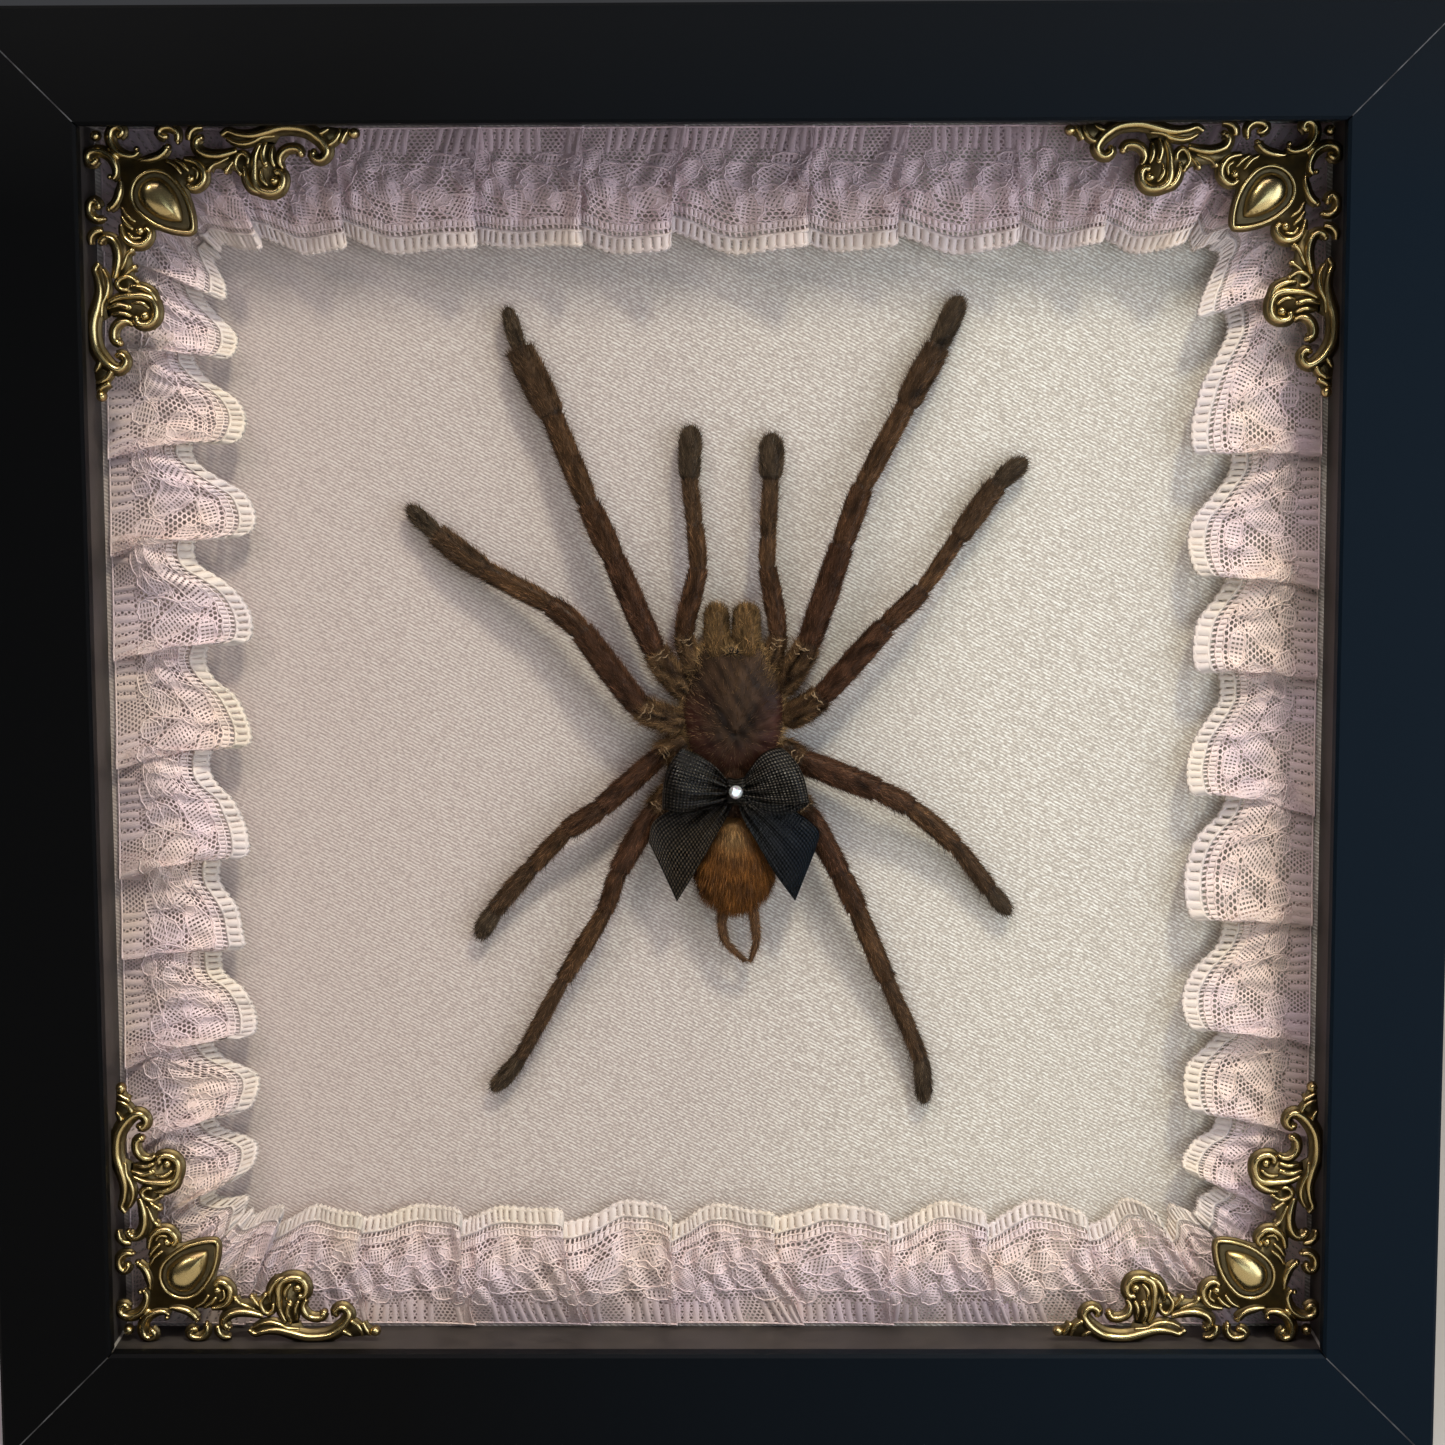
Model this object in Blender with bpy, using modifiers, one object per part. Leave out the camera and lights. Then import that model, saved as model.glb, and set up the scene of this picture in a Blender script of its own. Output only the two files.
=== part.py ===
"""Framed tarantula: a black shadow box with satin, ruffled lace, brass corners and a spider with a bow.

Metres, +Z up. The box stands on its bottom edge and its glass faces -Y. The origin is the middle of
the bottom face. Places on the backing are given as (x, z, h) in millimetres: x and z from the centre
of the frame, h forward from the front of the satin.
"""
import math

import bmesh
import bpy
from mathutils import Matrix, Vector

MM = 0.001
GAP = 0.3 * MM                 # clearance between pieces that touch

# Driving sizes: an eight-inch square pane sets the whole frame.
PANE = 203.2 * MM
PANE_THICK = 2.0 * MM
PANE_PLAY = 0.9 * MM           # room around the pane in its rabbet
LIP_WIDTH = 5.0 * MM           # how far the lip covers the rabbet
LIP_THICK = 3.2 * MM
RAIL_FACE = 18.0 * MM
DEPTH = 30.0 * MM
SPACER_DEPTH = 12.3 * MM
SPACER_RECESS = 1.06 * MM      # the spacer's face stands back from the lip's edge
SATIN_THICK = 0.5 * MM
BOARD_THICK = 4.0 * MM
PANEL_THICK = 2.5 * MM
TAB_THICK = 0.6 * MM

RABBET = PANE / 2 + PANE_PLAY
OPENING = RABBET - LIP_WIDTH
OUTER = OPENING + RAIL_FACE
SPACER_INNER = OPENING + SPACER_RECESS
BACKING_HALF = RABBET - 2 * GAP

# The stack from front to back along Y.
FRONT_Y = -DEPTH / 2
LIP_Y = FRONT_Y + LIP_THICK
GLASS_Y = LIP_Y + GAP
SPACER_Y = GLASS_Y + PANE_THICK + GAP
SATIN_Y = SPACER_Y + SPACER_DEPTH + GAP
BOARD_Y = SATIN_Y + SATIN_THICK + GAP
PANEL_Y = BOARD_Y + BOARD_THICK + GAP
TAB_Y = PANEL_Y + PANEL_THICK + GAP
BACK_Y = DEPTH / 2

PARTS = "framed_tarantula"
SIDES = {"top": 0, "right": 90, "bottom": 180, "left": 270}
CORNERS = {"top_left": 0, "top_right": 90, "bottom_right": 180, "bottom_left": 270}


# ---------------------------------------------------------------- shared helpers

def spot(x, z, h):
    """A place on the backing, in millimetres, as a point in the part's own frame."""
    return Vector((x * MM, SATIN_Y - h * MM, OUTER + z * MM))


def material(name, colour, roughness, metallic=0.0):
    made = bpy.data.materials.new(name)
    made.use_nodes = True
    shader = made.node_tree.nodes["Principled BSDF"]
    shader.inputs["Base Color"].default_value = (*colour, 1.0)
    shader.inputs["Roughness"].default_value = roughness
    shader.inputs["Metallic"].default_value = metallic
    return made


def add_object(name, data, surface, collection):
    obj = bpy.data.objects.new(name, data)
    collection.objects.link(obj)
    if surface:
        data.materials.clear()
        data.materials.append(surface)
    return obj


def mesh_from(bm, name):
    mesh = bpy.data.meshes.new(name)
    bmesh.ops.recalc_face_normals(bm, faces=bm.faces)
    bm.to_mesh(mesh)
    bm.free()
    return mesh


def block(name, low, high, surface, collection):
    """A box between two corners."""
    bm = bmesh.new()
    bmesh.ops.create_cube(bm, size=1.0)
    size = high - low
    bmesh.ops.scale(bm, vec=size, verts=bm.verts)
    bmesh.ops.translate(bm, vec=(low + high) / 2, verts=bm.verts)
    return add_object(name, mesh_from(bm, name), surface, collection)


def settled_mesh(obj, name):
    """The evaluated mesh of a curve or of an object with modifiers, with its loose caps welded."""
    graph = bpy.context.evaluated_depsgraph_get()
    mesh = bpy.data.meshes.new_from_object(obj.evaluated_get(graph))
    mesh.name = name
    mesh.transform(obj.matrix_world)
    bm = bmesh.new()
    bm.from_mesh(mesh)
    bmesh.ops.remove_doubles(bm, verts=bm.verts, dist=0.0001 * MM)
    bmesh.ops.recalc_face_normals(bm, faces=bm.faces)
    bm.to_mesh(mesh)
    bm.free()
    bpy.data.objects.remove(obj)
    return mesh


def tube(name, points, radii, collection, sides=8):
    """A tapered tube through the points, closed at both ends."""
    curve = bpy.data.curves.new(name, "CURVE")
    curve.dimensions = "3D"
    curve.bevel_depth = 1.0
    curve.bevel_resolution = (sides - 4) // 2
    curve.use_fill_caps = True
    spline = curve.splines.new("POLY")
    spline.points.add(len(points) - 1)
    for place, point, radius in zip(spline.points, points, radii):
        place.co = (*point, 1.0)
        place.radius = radius
    mesh = settled_mesh(add_object(name, curve, None, collection), name)
    return add_object(name, mesh, None, collection)


def lump(name, centre, radii, shape, collection, segments=12, rings=8):
    """A round body. shape takes a point on the unit ball and returns where it goes on that ball."""
    bm = bmesh.new()
    bmesh.ops.create_uvsphere(bm, u_segments=segments, v_segments=rings, radius=1.0)
    for vert in bm.verts:
        x, z, h = shape(vert.co.x, vert.co.y, vert.co.z)
        vert.co = spot(centre[0] + radii[0] * x, centre[1] + radii[1] * z, centre[2] + radii[2] * h)
    return add_object(name, mesh_from(bm, name), None, collection)


def hide_cutters(collection):
    for obj in collection.objects:
        obj.hide_render = True
        obj.display_type = "WIRE"


def join(obj, pieces, operation="UNION"):
    """Adds or cuts every piece of a collection with one Boolean."""
    boolean = obj.modifiers.new("join" if operation == "UNION" else "cut", "BOOLEAN")
    boolean.operation = operation
    boolean.operand_type = "COLLECTION"
    boolean.collection = pieces
    boolean.solver = "EXACT"


def turned(angle):
    """A turn about the frame's centre, clockwise as the viewer sees it."""
    centre = Matrix.Translation((0.0, 0.0, OUTER))
    return centre @ Matrix.Rotation(math.radians(angle), 4, "Y") @ centre.inverted()


# ---------------------------------------------------------------- frame, glass and backing

TAB_WIDTH = 9.0 * MM
TAB_LENGTH = 12.0 * MM
TAB_ROOT = 4.0 * MM            # how deep a tab reaches into its rail
TAB_PLACES = (-48.0 * MM, 48.0 * MM)
EDGE_ROUND = 0.5 * MM


def mitred_strip(name, profile, angle, surface, parts):
    """A straight strip with this profile (distance from the frame's centre, y), mitred at both ends."""
    bm = bmesh.new()
    rings = []
    for end in (-1.0, 1.0):
        ring = [bm.verts.new((end * (across - GAP / 2), y, OUTER + across)) for across, y in profile]
        rings.append(ring)
        bm.faces.new(ring)
    for i, _ in enumerate(profile):
        j = (i + 1) % len(profile)
        bm.faces.new((rings[0][i], rings[0][j], rings[1][j], rings[1][i]))
    obj = add_object(name, mesh_from(bm, name), surface, parts)
    obj.matrix_world = turned(angle)
    return obj


def soften_edges(obj, places):
    """Bevels the long edges that run through these (distance from the frame's centre, y) places."""
    weights = obj.data.attributes.new("bevel_weight_edge", "FLOAT", "EDGE")
    for edge in obj.data.edges:
        start, end = (obj.data.vertices[i].co for i in edge.vertices)
        along = abs(start.x - end.x) > RAIL_FACE
        chosen = any(abs(start.z - OUTER - across) < GAP and abs(start.y - y) < GAP for across, y in places)
        weights.data[edge.index].value = 1.0 if along and chosen else 0.0
    bevel = obj.modifiers.new("soft_edges", "BEVEL")
    bevel.width = EDGE_ROUND
    bevel.segments = 1
    bevel.limit_method = "WEIGHT"


def rail(side, angle, surface, parts, slots):
    """One rail: its lip and wall in profile, softened edges, and a slot for each tab in its wall."""
    front_outer, front_inner, back_outer = (OUTER, FRONT_Y), (OPENING, FRONT_Y), (OUTER, BACK_Y)
    profile = (front_outer, front_inner, (OPENING, LIP_Y), (RABBET, LIP_Y), (RABBET, BACK_Y), back_outer)
    obj = mitred_strip("frame_rail_" + side, profile, angle, surface, parts)
    for place in TAB_PLACES:
        low = Vector((place - TAB_WIDTH / 2 - GAP, TAB_Y - GAP, OUTER + RABBET - GAP))
        high = Vector((place + TAB_WIDTH / 2 + GAP, TAB_Y + TAB_THICK + GAP, OUTER + RABBET + TAB_ROOT + GAP))
        cutter = block("slot_" + side, low, high, None, slots)
        cutter.matrix_world = turned(angle)
    soften_edges(obj, (front_outer, front_inner, back_outer))
    join(obj, slots, "DIFFERENCE")


def spacer(side, angle, surface, parts):
    """A liner strip that stands on edge between the pane and the satin."""
    wall = RABBET - GAP
    back = SPACER_Y + SPACER_DEPTH
    profile = ((wall, SPACER_Y), (SPACER_INNER, SPACER_Y), (SPACER_INNER, back), (wall, back))
    mitred_strip("spacer_" + side, profile, angle, surface, parts)


def square(name, half, front, thick, surface, parts):
    """A square sheet or board behind the opening."""
    low = Vector((-half, front, OUTER - half))
    high = Vector((half, front + thick, OUTER + half))
    return block(name, low, high, surface, parts)


def case(parts, slots):
    black = material("frame_black", (0.012, 0.013, 0.017), 0.45)
    liner = material("liner_brown", (0.045, 0.038, 0.036), 0.4)
    for side, angle in SIDES.items():
        rail(side, angle, black, parts, slots[side])
        spacer(side, angle, liner, parts)
    glass = material("glass", (0.9, 0.95, 0.93), 0.02)
    satin = material("satin", (0.72, 0.58, 0.56), 0.4)
    board = material("board", (0.6, 0.55, 0.5), 0.9)
    square("glass_pane", PANE / 2, GLASS_Y, PANE_THICK, glass, parts)
    square("satin_sheet", BACKING_HALF, SATIN_Y, SATIN_THICK, satin, parts)
    square("backing_board", BACKING_HALF, BOARD_Y, BOARD_THICK, board, parts)


# ---------------------------------------------------------------- rear panel, tabs and hanger

HANGER_HALF = 22.0 * MM
HANGER_HIGH = 9.0 * MM
HANGER_THICK = 0.8 * MM
HANGER_DROP = 16.0 * MM        # from the rabbet's top edge to the middle of the hanger
TOOTH_COUNT = 7
TOOTH_PITCH = 4.0 * MM
TOOTH_DEEP = 2.2 * MM
NAIL_OUT = 19.0 * MM
NAIL_SHANK = 0.7 * MM
NAIL_HEAD = 1.7 * MM
NAIL_LONG = 1.6 * MM


def rod(name, centre, radius, front, back, surface, collection, sides=10):
    """A round rod along Y."""
    bm = bmesh.new()
    bmesh.ops.create_cone(bm, cap_ends=True, segments=sides, radius1=radius, radius2=radius, depth=back - front)
    bmesh.ops.rotate(bm, cent=(0, 0, 0), matrix=Matrix.Rotation(math.pi / 2, 3, "X"), verts=bm.verts)
    bmesh.ops.translate(bm, vec=(centre[0], (front + back) / 2, centre[1]), verts=bm.verts)
    return add_object(name, mesh_from(bm, name), surface, collection)


def hanger(parts, holes, nails, steel):
    """A sawtooth strip on the rear panel, with a round-headed nail at each end."""
    middle = OUTER + RABBET - HANGER_DROP
    top = middle + HANGER_HIGH / 2
    low = middle - HANGER_HIGH / 2
    outline = [(-HANGER_HALF, low + TOOTH_DEEP), (-HANGER_HALF, top), (HANGER_HALF, top),
               (HANGER_HALF, low + TOOTH_DEEP)]
    first = (TOOTH_COUNT / 2) * TOOTH_PITCH
    for i in range(TOOTH_COUNT):
        right = first - i * TOOTH_PITCH
        outline += [(right, low), (right - TOOTH_PITCH / 2, low + TOOTH_DEEP)]
    outline.append((-first, low))
    curve = bpy.data.curves.new("sawtooth_hanger", "CURVE")
    curve.dimensions = "2D"
    curve.fill_mode = "BOTH"
    curve.extrude = HANGER_THICK / 2
    spline = curve.splines.new("POLY")
    spline.points.add(len(outline) - 1)
    for point, (x, z) in zip(spline.points, outline):
        point.co = (x, z, 0.0, 1.0)
    spline.use_cyclic_u = True
    flat = add_object("hanger_outline", curve, None, parts)
    plate_y = PANEL_Y + PANEL_THICK + GAP
    flat.matrix_world = (Matrix.Translation((0, plate_y + HANGER_THICK / 2, 0))
                         @ Matrix.Rotation(math.pi / 2, 4, "X"))
    bpy.context.view_layer.update()
    plate = add_object("sawtooth_hanger", settled_mesh(flat, "sawtooth_hanger"), steel, parts)
    join(plate, holes, "DIFFERENCE")
    nail_z = top - HANGER_HIGH / 4
    for side, x in (("left", NAIL_OUT), ("right", -NAIL_OUT)):
        name = "hanger_nail_" + side
        rod(name + "_hole", (x, nail_z), NAIL_SHANK + GAP, plate_y - NAIL_LONG - GAP,
            plate_y + HANGER_THICK + GAP, None, holes)
        shank = rod(name, (x, nail_z), NAIL_SHANK, plate_y - NAIL_LONG,
                    plate_y + HANGER_THICK + 2 * GAP, steel, parts)
        rod(name + "_head", (x, nail_z), NAIL_HEAD, plate_y + HANGER_THICK + GAP,
            plate_y + HANGER_THICK + 3 * GAP, None, nails[side])
        join(shank, nails[side])


def rear(parts, holes, nails):
    steel = material("plated_steel", (0.55, 0.55, 0.56), 0.35, 1.0)
    board = material("hardboard", (0.32, 0.2, 0.12), 0.8)
    panel = square("rear_panel", BACKING_HALF, PANEL_Y, PANEL_THICK, board, parts)
    join(panel, holes, "DIFFERENCE")
    number = 0
    for angle in SIDES.values():
        for place in TAB_PLACES:
            number += 1
            low = Vector((place - TAB_WIDTH / 2, TAB_Y, OUTER + RABBET + TAB_ROOT - TAB_LENGTH))
            high = Vector((place + TAB_WIDTH / 2, TAB_Y + TAB_THICK, OUTER + RABBET + TAB_ROOT))
            tab = block(f"retaining_tab_{number}", low, high, steel, parts)
            tab.matrix_world = turned(angle)
    hanger(parts, holes, nails, steel)


# ---------------------------------------------------------------- ruffled lace

LACE_WIDTH = 20.5
LACE_THICK = 0.35 * MM
LACE_INSET = 0.5               # from the spacer's face to the glued edge
LACE_PLEATS = 11
CELLS_A_PLEAT = 4
LACE_ROWS = (0.0, 0.5, 1.0)    # from the glued edge to the free edge
LACE_LOW = 0.5
LACE_RISE = 8.0
LACE_CURL = 0.6                # below one, the lace rises steeply beside the liner
LACE_WAVE = 1.1
LACE_SWAY = 1.6
LACE_MITRE = 0.4               # room at each end, beside the next strip
LACE_PRESSED = 8.0             # highest the free edge stands beside a brass corner
CORNER_REACH = 44.0            # how far a brass corner covers from the liner


def lace_strip(name, angle, surface, parts):
    """A trim gathered in pleats: glued flat along the liner, its free edge standing off the satin."""
    bm = bmesh.new()
    liner = SPACER_INNER / MM - LACE_INSET
    columns = LACE_PLEATS * CELLS_A_PLEAT
    rows = []
    for across in LACE_ROWS:
        row = []
        for i in range(columns + 1):
            along = 2.0 * i / columns - 1.0
            turn = math.pi * LACE_PLEATS * along
            calm = 1.0 - along ** 12       # the ends keep to their mitres
            x = along * (liner - LACE_MITRE - across * LACE_WIDTH)
            reach = across * (LACE_WIDTH + LACE_SWAY * calm * math.cos(turn))
            height = LACE_LOW + LACE_RISE * across ** LACE_CURL + LACE_WAVE * across * math.sin(turn)
            if liner - abs(x) < CORNER_REACH:
                height = min(height, LACE_PRESSED)
            row.append(bm.verts.new(spot(x, liner - reach, height)))
        rows.append(row)
    for lower, upper in zip(rows, rows[1:]):
        for i in range(columns):
            bm.faces.new((lower[i], lower[i + 1], upper[i + 1], upper[i]))
    obj = add_object(name, mesh_from(bm, name), surface, parts)
    obj.matrix_world = turned(angle)
    wall = obj.modifiers.new("thickness", "SOLIDIFY")
    wall.thickness = LACE_THICK
    wall.offset = 0.0
    obj.data.shade_smooth()


def lace(parts):
    surface = material("lace_pink", (0.75, 0.62, 0.64), 0.8)
    for side, angle in SIDES.items():
        lace_strip("lace_" + side, angle, surface, parts)


# ---------------------------------------------------------------- brass corners

CORNER_BEAD = 97.0             # the corner bead's distance from the frame's centre, both ways
PLATE_BACK = 7.7               # the plate's back above the satin
PLATE_THICK = 0.9
# Half of the outline, from the corner bead out along the arm and back to the teardrop's point.
# u runs along the arm from the corner bead, v away from the liner.
HALF_OUTLINE = (
    (-0.9, -0.9), (0.9, -0.7), (1.9, 1.4), (2.6, -0.4), (4.3, -1.1), (5.0, 0.1), (4.0, 1.8), (5.0, 2.9),
    (7.6, 3.2), (9.9, 3.2), (10.9, 2.0), (10.2, 0.1), (11.9, -1.1), (13.5, -0.2), (14.4, 2.2), (15.2, -0.2),
    (17.4, -1.1), (18.0, 0.5), (21.3, -0.4), (26.2, -0.2), (29.8, -1.1), (37.2, -1.0), (38.9, -0.4),
    (41.4, -1.1), (41.8, 1.0), (39.0, 1.9), (37.0, 1.9), (36.8, 4.1), (34.6, 4.5), (33.6, 2.6), (32.8, 3.9),
    (30.2, 4.6), (30.2, 8.4), (28.4, 9.6), (25.4, 9.4), (23.3, 6.4), (18.7, 6.2), (17.5, 5.3), (17.5, 7.6),
    (15.3, 9.0), (15.9, 12.4), (15.7, 14.7),
)
OVAL_OPENING = (19.2, 1.9, 1.8, 1.0)       # centre u and v, half width, half height
CRESCENT = ((28.8, 2.0), (29.7, 0.8), (31.2, 0.2), (33.2, 0.4), (34.5, 1.4), (33.8, 1.8), (32.2, 1.3),
            (30.6, 1.6), (29.4, 2.6))
BOSS_CENTRE = (9.6, 9.6)
BOSS_ROUND = 3.8               # radius of the teardrop's round end
BOSS_REACH = 7.4               # from its centre to its point
BOSS_HIGH = 1.5


def oval(centre_u, centre_v, half_u, half_v, steps=8):
    for i in range(steps):
        turn = 2 * math.pi * i / steps
        yield centre_u + half_u * math.cos(turn), centre_v + half_v * math.sin(turn)


def corner_outlines():
    """The plate's outline and its openings, as closed loops of (u, v)."""
    mirrored = [(v, u) for u, v in reversed(HALF_OUTLINE[1:])]
    loops = [list(HALF_OUTLINE) + mirrored]
    u, v, half_u, half_v = OVAL_OPENING
    loops.append(list(oval(u, v, half_u, half_v)))
    loops.append(list(oval(v, u, half_v, half_u)))
    loops.append(list(CRESCENT))
    loops.append([(v, u) for u, v in CRESCENT])
    return loops


def corner_mesh(parts, bosses):
    """The plate of the top left corner, with its domed teardrop."""
    curve = bpy.data.curves.new("corner_plate", "CURVE")
    curve.dimensions = "2D"
    curve.fill_mode = "BOTH"
    curve.extrude = PLATE_THICK * MM / 2
    for loop in corner_outlines():
        spline = curve.splines.new("POLY")
        spline.points.add(len(loop) - 1)
        for point, (u, v) in zip(spline.points, loop):
            point.co = ((u - CORNER_BEAD) * MM, (CORNER_BEAD - v) * MM, 0.0, 1.0)
        spline.use_cyclic_u = True
    flat = add_object("corner_plate", curve, None, parts)
    middle = SATIN_Y - (PLATE_BACK + PLATE_THICK / 2) * MM
    flat.matrix_world = Matrix.Translation((0, middle, OUTER)) @ Matrix.Rotation(math.pi / 2, 4, "X")
    bpy.context.view_layer.update()
    plate = add_object("corner_plate", settled_mesh(flat, "corner_plate"), None, parts)

    def teardrop(x, z, h):
        """Stretches the ball's lower right into a point along the diagonal."""
        along = (x - z) / math.sqrt(2)
        across = (x + z) / math.sqrt(2)
        if along > 0:
            across *= 1.0 - along ** 1.6 * 0.93
            along *= BOSS_REACH / BOSS_ROUND
        return (along + across) / math.sqrt(2), (across - along) / math.sqrt(2), h

    u, v = BOSS_CENTRE
    lump("corner_boss", (u - CORNER_BEAD, CORNER_BEAD - v, PLATE_BACK + PLATE_THICK / 2),
         (BOSS_ROUND, BOSS_ROUND, BOSS_HIGH), teardrop, bosses, segments=10, rings=6)
    join(plate, bosses)
    bpy.context.view_layer.update()
    return settled_mesh(plate, "corner_filigree")


def brass_corners(parts, bosses):
    brass = material("antique_brass", (0.3, 0.22, 0.09), 0.35, 1.0)
    mesh = corner_mesh(parts, bosses)
    for corner, angle in CORNERS.items():
        obj = add_object("corner_filigree_" + corner, mesh, brass, parts)
        obj.matrix_world = turned(angle)


# ---------------------------------------------------------------- tarantula

BODY_X = 3.2                   # the spider sits a little right of the centre
# Each leg's joints (x, z, h) from its tip to its hip, measured from the middle of the body.
LEGS = {
    "leg_1_left": ((-36.1, 69.9, 1.9), (-34.1, 63.2, 2.3), (-29.0, 52.7, 3.3), (-23.2, 38.6, 4.9),
                   (-19.1, 29.8, 5.9), (-12.6, 14.9, 5.7), (-7.2, 7.6, 4.3)),
    "leg_2_left": ((-52.5, 38.2, 1.9), (-47.8, 33.7, 2.3), (-40.0, 27.9, 3.3), (-29.5, 22.4, 4.9),
                   (-24.3, 18.1, 5.9), (-15.1, 6.0, 5.5), (-7.6, 3.0, 4.3)),
    "leg_3_left": ((-42.0, -32.6, 1.9), (-39.2, -27.8, 2.2), (-33.0, -20.5, 3.1), (-27.1, -14.3, 4.6),
                   (-21.5, -10.4, 5.4), (-11.9, -2.1, 4.6), (-7.0, 0.0, 4.1)),
    "leg_4_left": ((-40.1, -58.1, 1.9), (-35.4, -52.4, 2.2), (-28.1, -39.2, 3.2), (-21.1, -27.5, 4.8),
                   (-18.7, -20.7, 5.5), (-12.8, -11.0, 4.7), (-3.4, -2.0, 4.2)),
    "leg_1_right": ((36.4, 71.3, 1.9), (32.6, 63.3, 2.3), (27.6, 54.1, 3.4), (20.7, 41.1, 4.9),
                    (17.3, 31.8, 5.9), (11.9, 16.0, 5.7), (7.2, 8.0, 4.3)),
    "leg_2_right": ((47.1, 45.4, 1.9), (42.3, 41.3, 2.3), (36.0, 32.8, 3.3), (30.2, 24.6, 4.9),
                    (24.2, 18.8, 5.9), (14.1, 7.6, 5.5), (7.8, 3.4, 4.3)),
    "leg_3_right": ((45.0, -28.7, 1.9), (41.6, -24.5, 2.2), (35.8, -17.0, 3.1), (28.4, -10.5, 4.6),
                    (23.0, -7.6, 5.4), (10.9, -2.9, 4.6), (7.0, -0.4, 4.1)),
    "leg_4_right": ((31.1, -60.3, 1.9), (30.4, -52.6, 2.2), (24.8, -39.3, 3.2), (19.9, -27.4, 4.8),
                    (17.1, -21.1, 5.5), (11.4, -11.1, 4.7), (3.4, -2.0, 4.2)),
}
# Radius at the middle of each segment, and at the joint that ends it, from the tip.
LEG_MIDDLES = (1.45, 1.5, 1.75, 1.8, 2.0, 2.0)
LEG_JOINTS = (1.15, 1.3, 1.4, 1.5, 1.6, 1.7)
LEG_TIP = 0.8
PALPS = {
    "palp_left": ((-6.8, 51.0, 2.2), (-7.0, 42.4, 2.8), (-6.2, 35.1, 4.3), (-5.7, 28.1, 5.2),
                  (-8.0, 17.4, 5.2), (-5.0, 10.0, 4.5)),
    "palp_right": ((6.2, 49.7, 2.2), (6.0, 42.4, 2.8), (5.5, 33.0, 4.3), (5.5, 28.3, 5.2),
                   (7.1, 17.3, 5.2), (5.0, 10.0, 4.5)),
}
PALP_MIDDLES = (1.8, 1.45, 1.5, 1.6, 1.8)
PALP_JOINTS = (1.2, 1.2, 1.3, 1.35, 1.5)
PALP_TIP = 1.1
CHELICERAE = ((-2.6, 1.95), (2.0, 2.3))    # middle and half width of each
SPINNERETS = (
    ((-1.7, -26.0, 4.6), (-2.1, -29.8, 5.0), (-1.3, -32.9, 4.6), (1.9, -36.1, 3.8)),
    ((2.8, -26.0, 4.6), (3.3, -29.6, 5.0), (3.5, -32.6, 4.6), (2.5, -36.3, 3.6)),
)
SPINNERET_RADII = (1.0, 0.95, 0.75, 0.3)


def limb(name, joints, middles, ends, tip, collection):
    """A jointed limb: each segment swells at its middle and draws in at its joints."""
    places = [Vector(spot(BODY_X + x, z, h)) for x, z, h in joints]
    points = [places[0]]
    radii = [tip]
    for start, end, middle, joint in zip(places, places[1:], middles, ends):
        points += [start.lerp(end, 0.6), end]
        radii += [middle, joint]
    radii[-1] = middles[-1]
    return tube(name, points, [r * MM for r in radii], collection)


def carapace_shape(x, z, h):
    """Narrows toward the eyes and slopes down to the rear."""
    narrowed = x * (1.0 - 0.34 * max(z, 0.0) ** 1.5) * (1.0 - 0.25 * max(-z, 0.0) ** 2)
    raised = h * (0.82 + 0.18 * z) if h > 0 else h
    return narrowed, blunt(z, 0.8), raised


def chelicera_shape(x, z, h):
    """A blunt block with rounded ends."""
    return blunt(x, 0.75), blunt(z, 0.6), h


def blunt(value, power):
    """Pushes a unit ball's coordinate outwards, towards a box."""
    return math.copysign(abs(value) ** power, value)


def abdomen_shape(x, z, h):
    """Broad towards the rear and narrow where it joins the carapace."""
    return x * (0.86 - 0.22 * z), z, h * (0.95 - 0.08 * z)


def plain(x, z, h):
    return x, z, h


def tarantula(parts, grown):
    """The whole dried spider as one solid: body, chelicerae, palps, legs and spinnerets grown together."""
    brown = material("spider_brown", (0.11, 0.055, 0.028), 0.75)
    body = lump("tarantula", (BODY_X, 4.6, 4.6), (8.8, 10.0, 4.2), carapace_shape, parts, 14, 10)
    body.data.materials.append(brown)
    lump("abdomen", (BODY_X, -18.6, 4.6), (7.4, 9.6, 4.0), abdomen_shape, grown, 12, 8)
    lump("pedicel", (BODY_X, -7.3, 4.2), (3.2, 4.6, 2.9), plain, grown, 8, 6)
    lump("sternum", (BODY_X, 4.0, 2.6), (8.4, 9.2, 2.2), plain, grown, 10, 5)
    lump("eye_mound", (BODY_X - 0.2, 12.4, 8.1), (1.5, 1.1, 1.0), plain, grown, 8, 4)
    for x, half in CHELICERAE:
        lump("chelicera", (BODY_X + x, 17.4, 5.2), (half, 5.0, 3.4), chelicera_shape, grown, 8, 6)
    for name, joints in LEGS.items():
        limb(name, joints, LEG_MIDDLES, LEG_JOINTS, LEG_TIP, grown)
    for name, joints in PALPS.items():
        limb(name, joints, PALP_MIDDLES, PALP_JOINTS, PALP_TIP, grown)
    for number, places in enumerate(SPINNERETS):
        points = [spot(BODY_X + x, z, h) for x, z, h in places]
        tube(f"spinneret_{number}", points, [r * MM for r in SPINNERET_RADII], grown, sides=6)
    join(body, grown)
    body.data.shade_smooth()


# ---------------------------------------------------------------- bow and rhinestone

KNOT = (3.5, -7.6, 8.9)
KNOT_RADII = (1.9, 2.3, 1.5)
KNOT_PINCH = 1.3               # half width of the ribbon where the knot gathers it
RIBBON_THICK = 0.45 * MM
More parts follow.
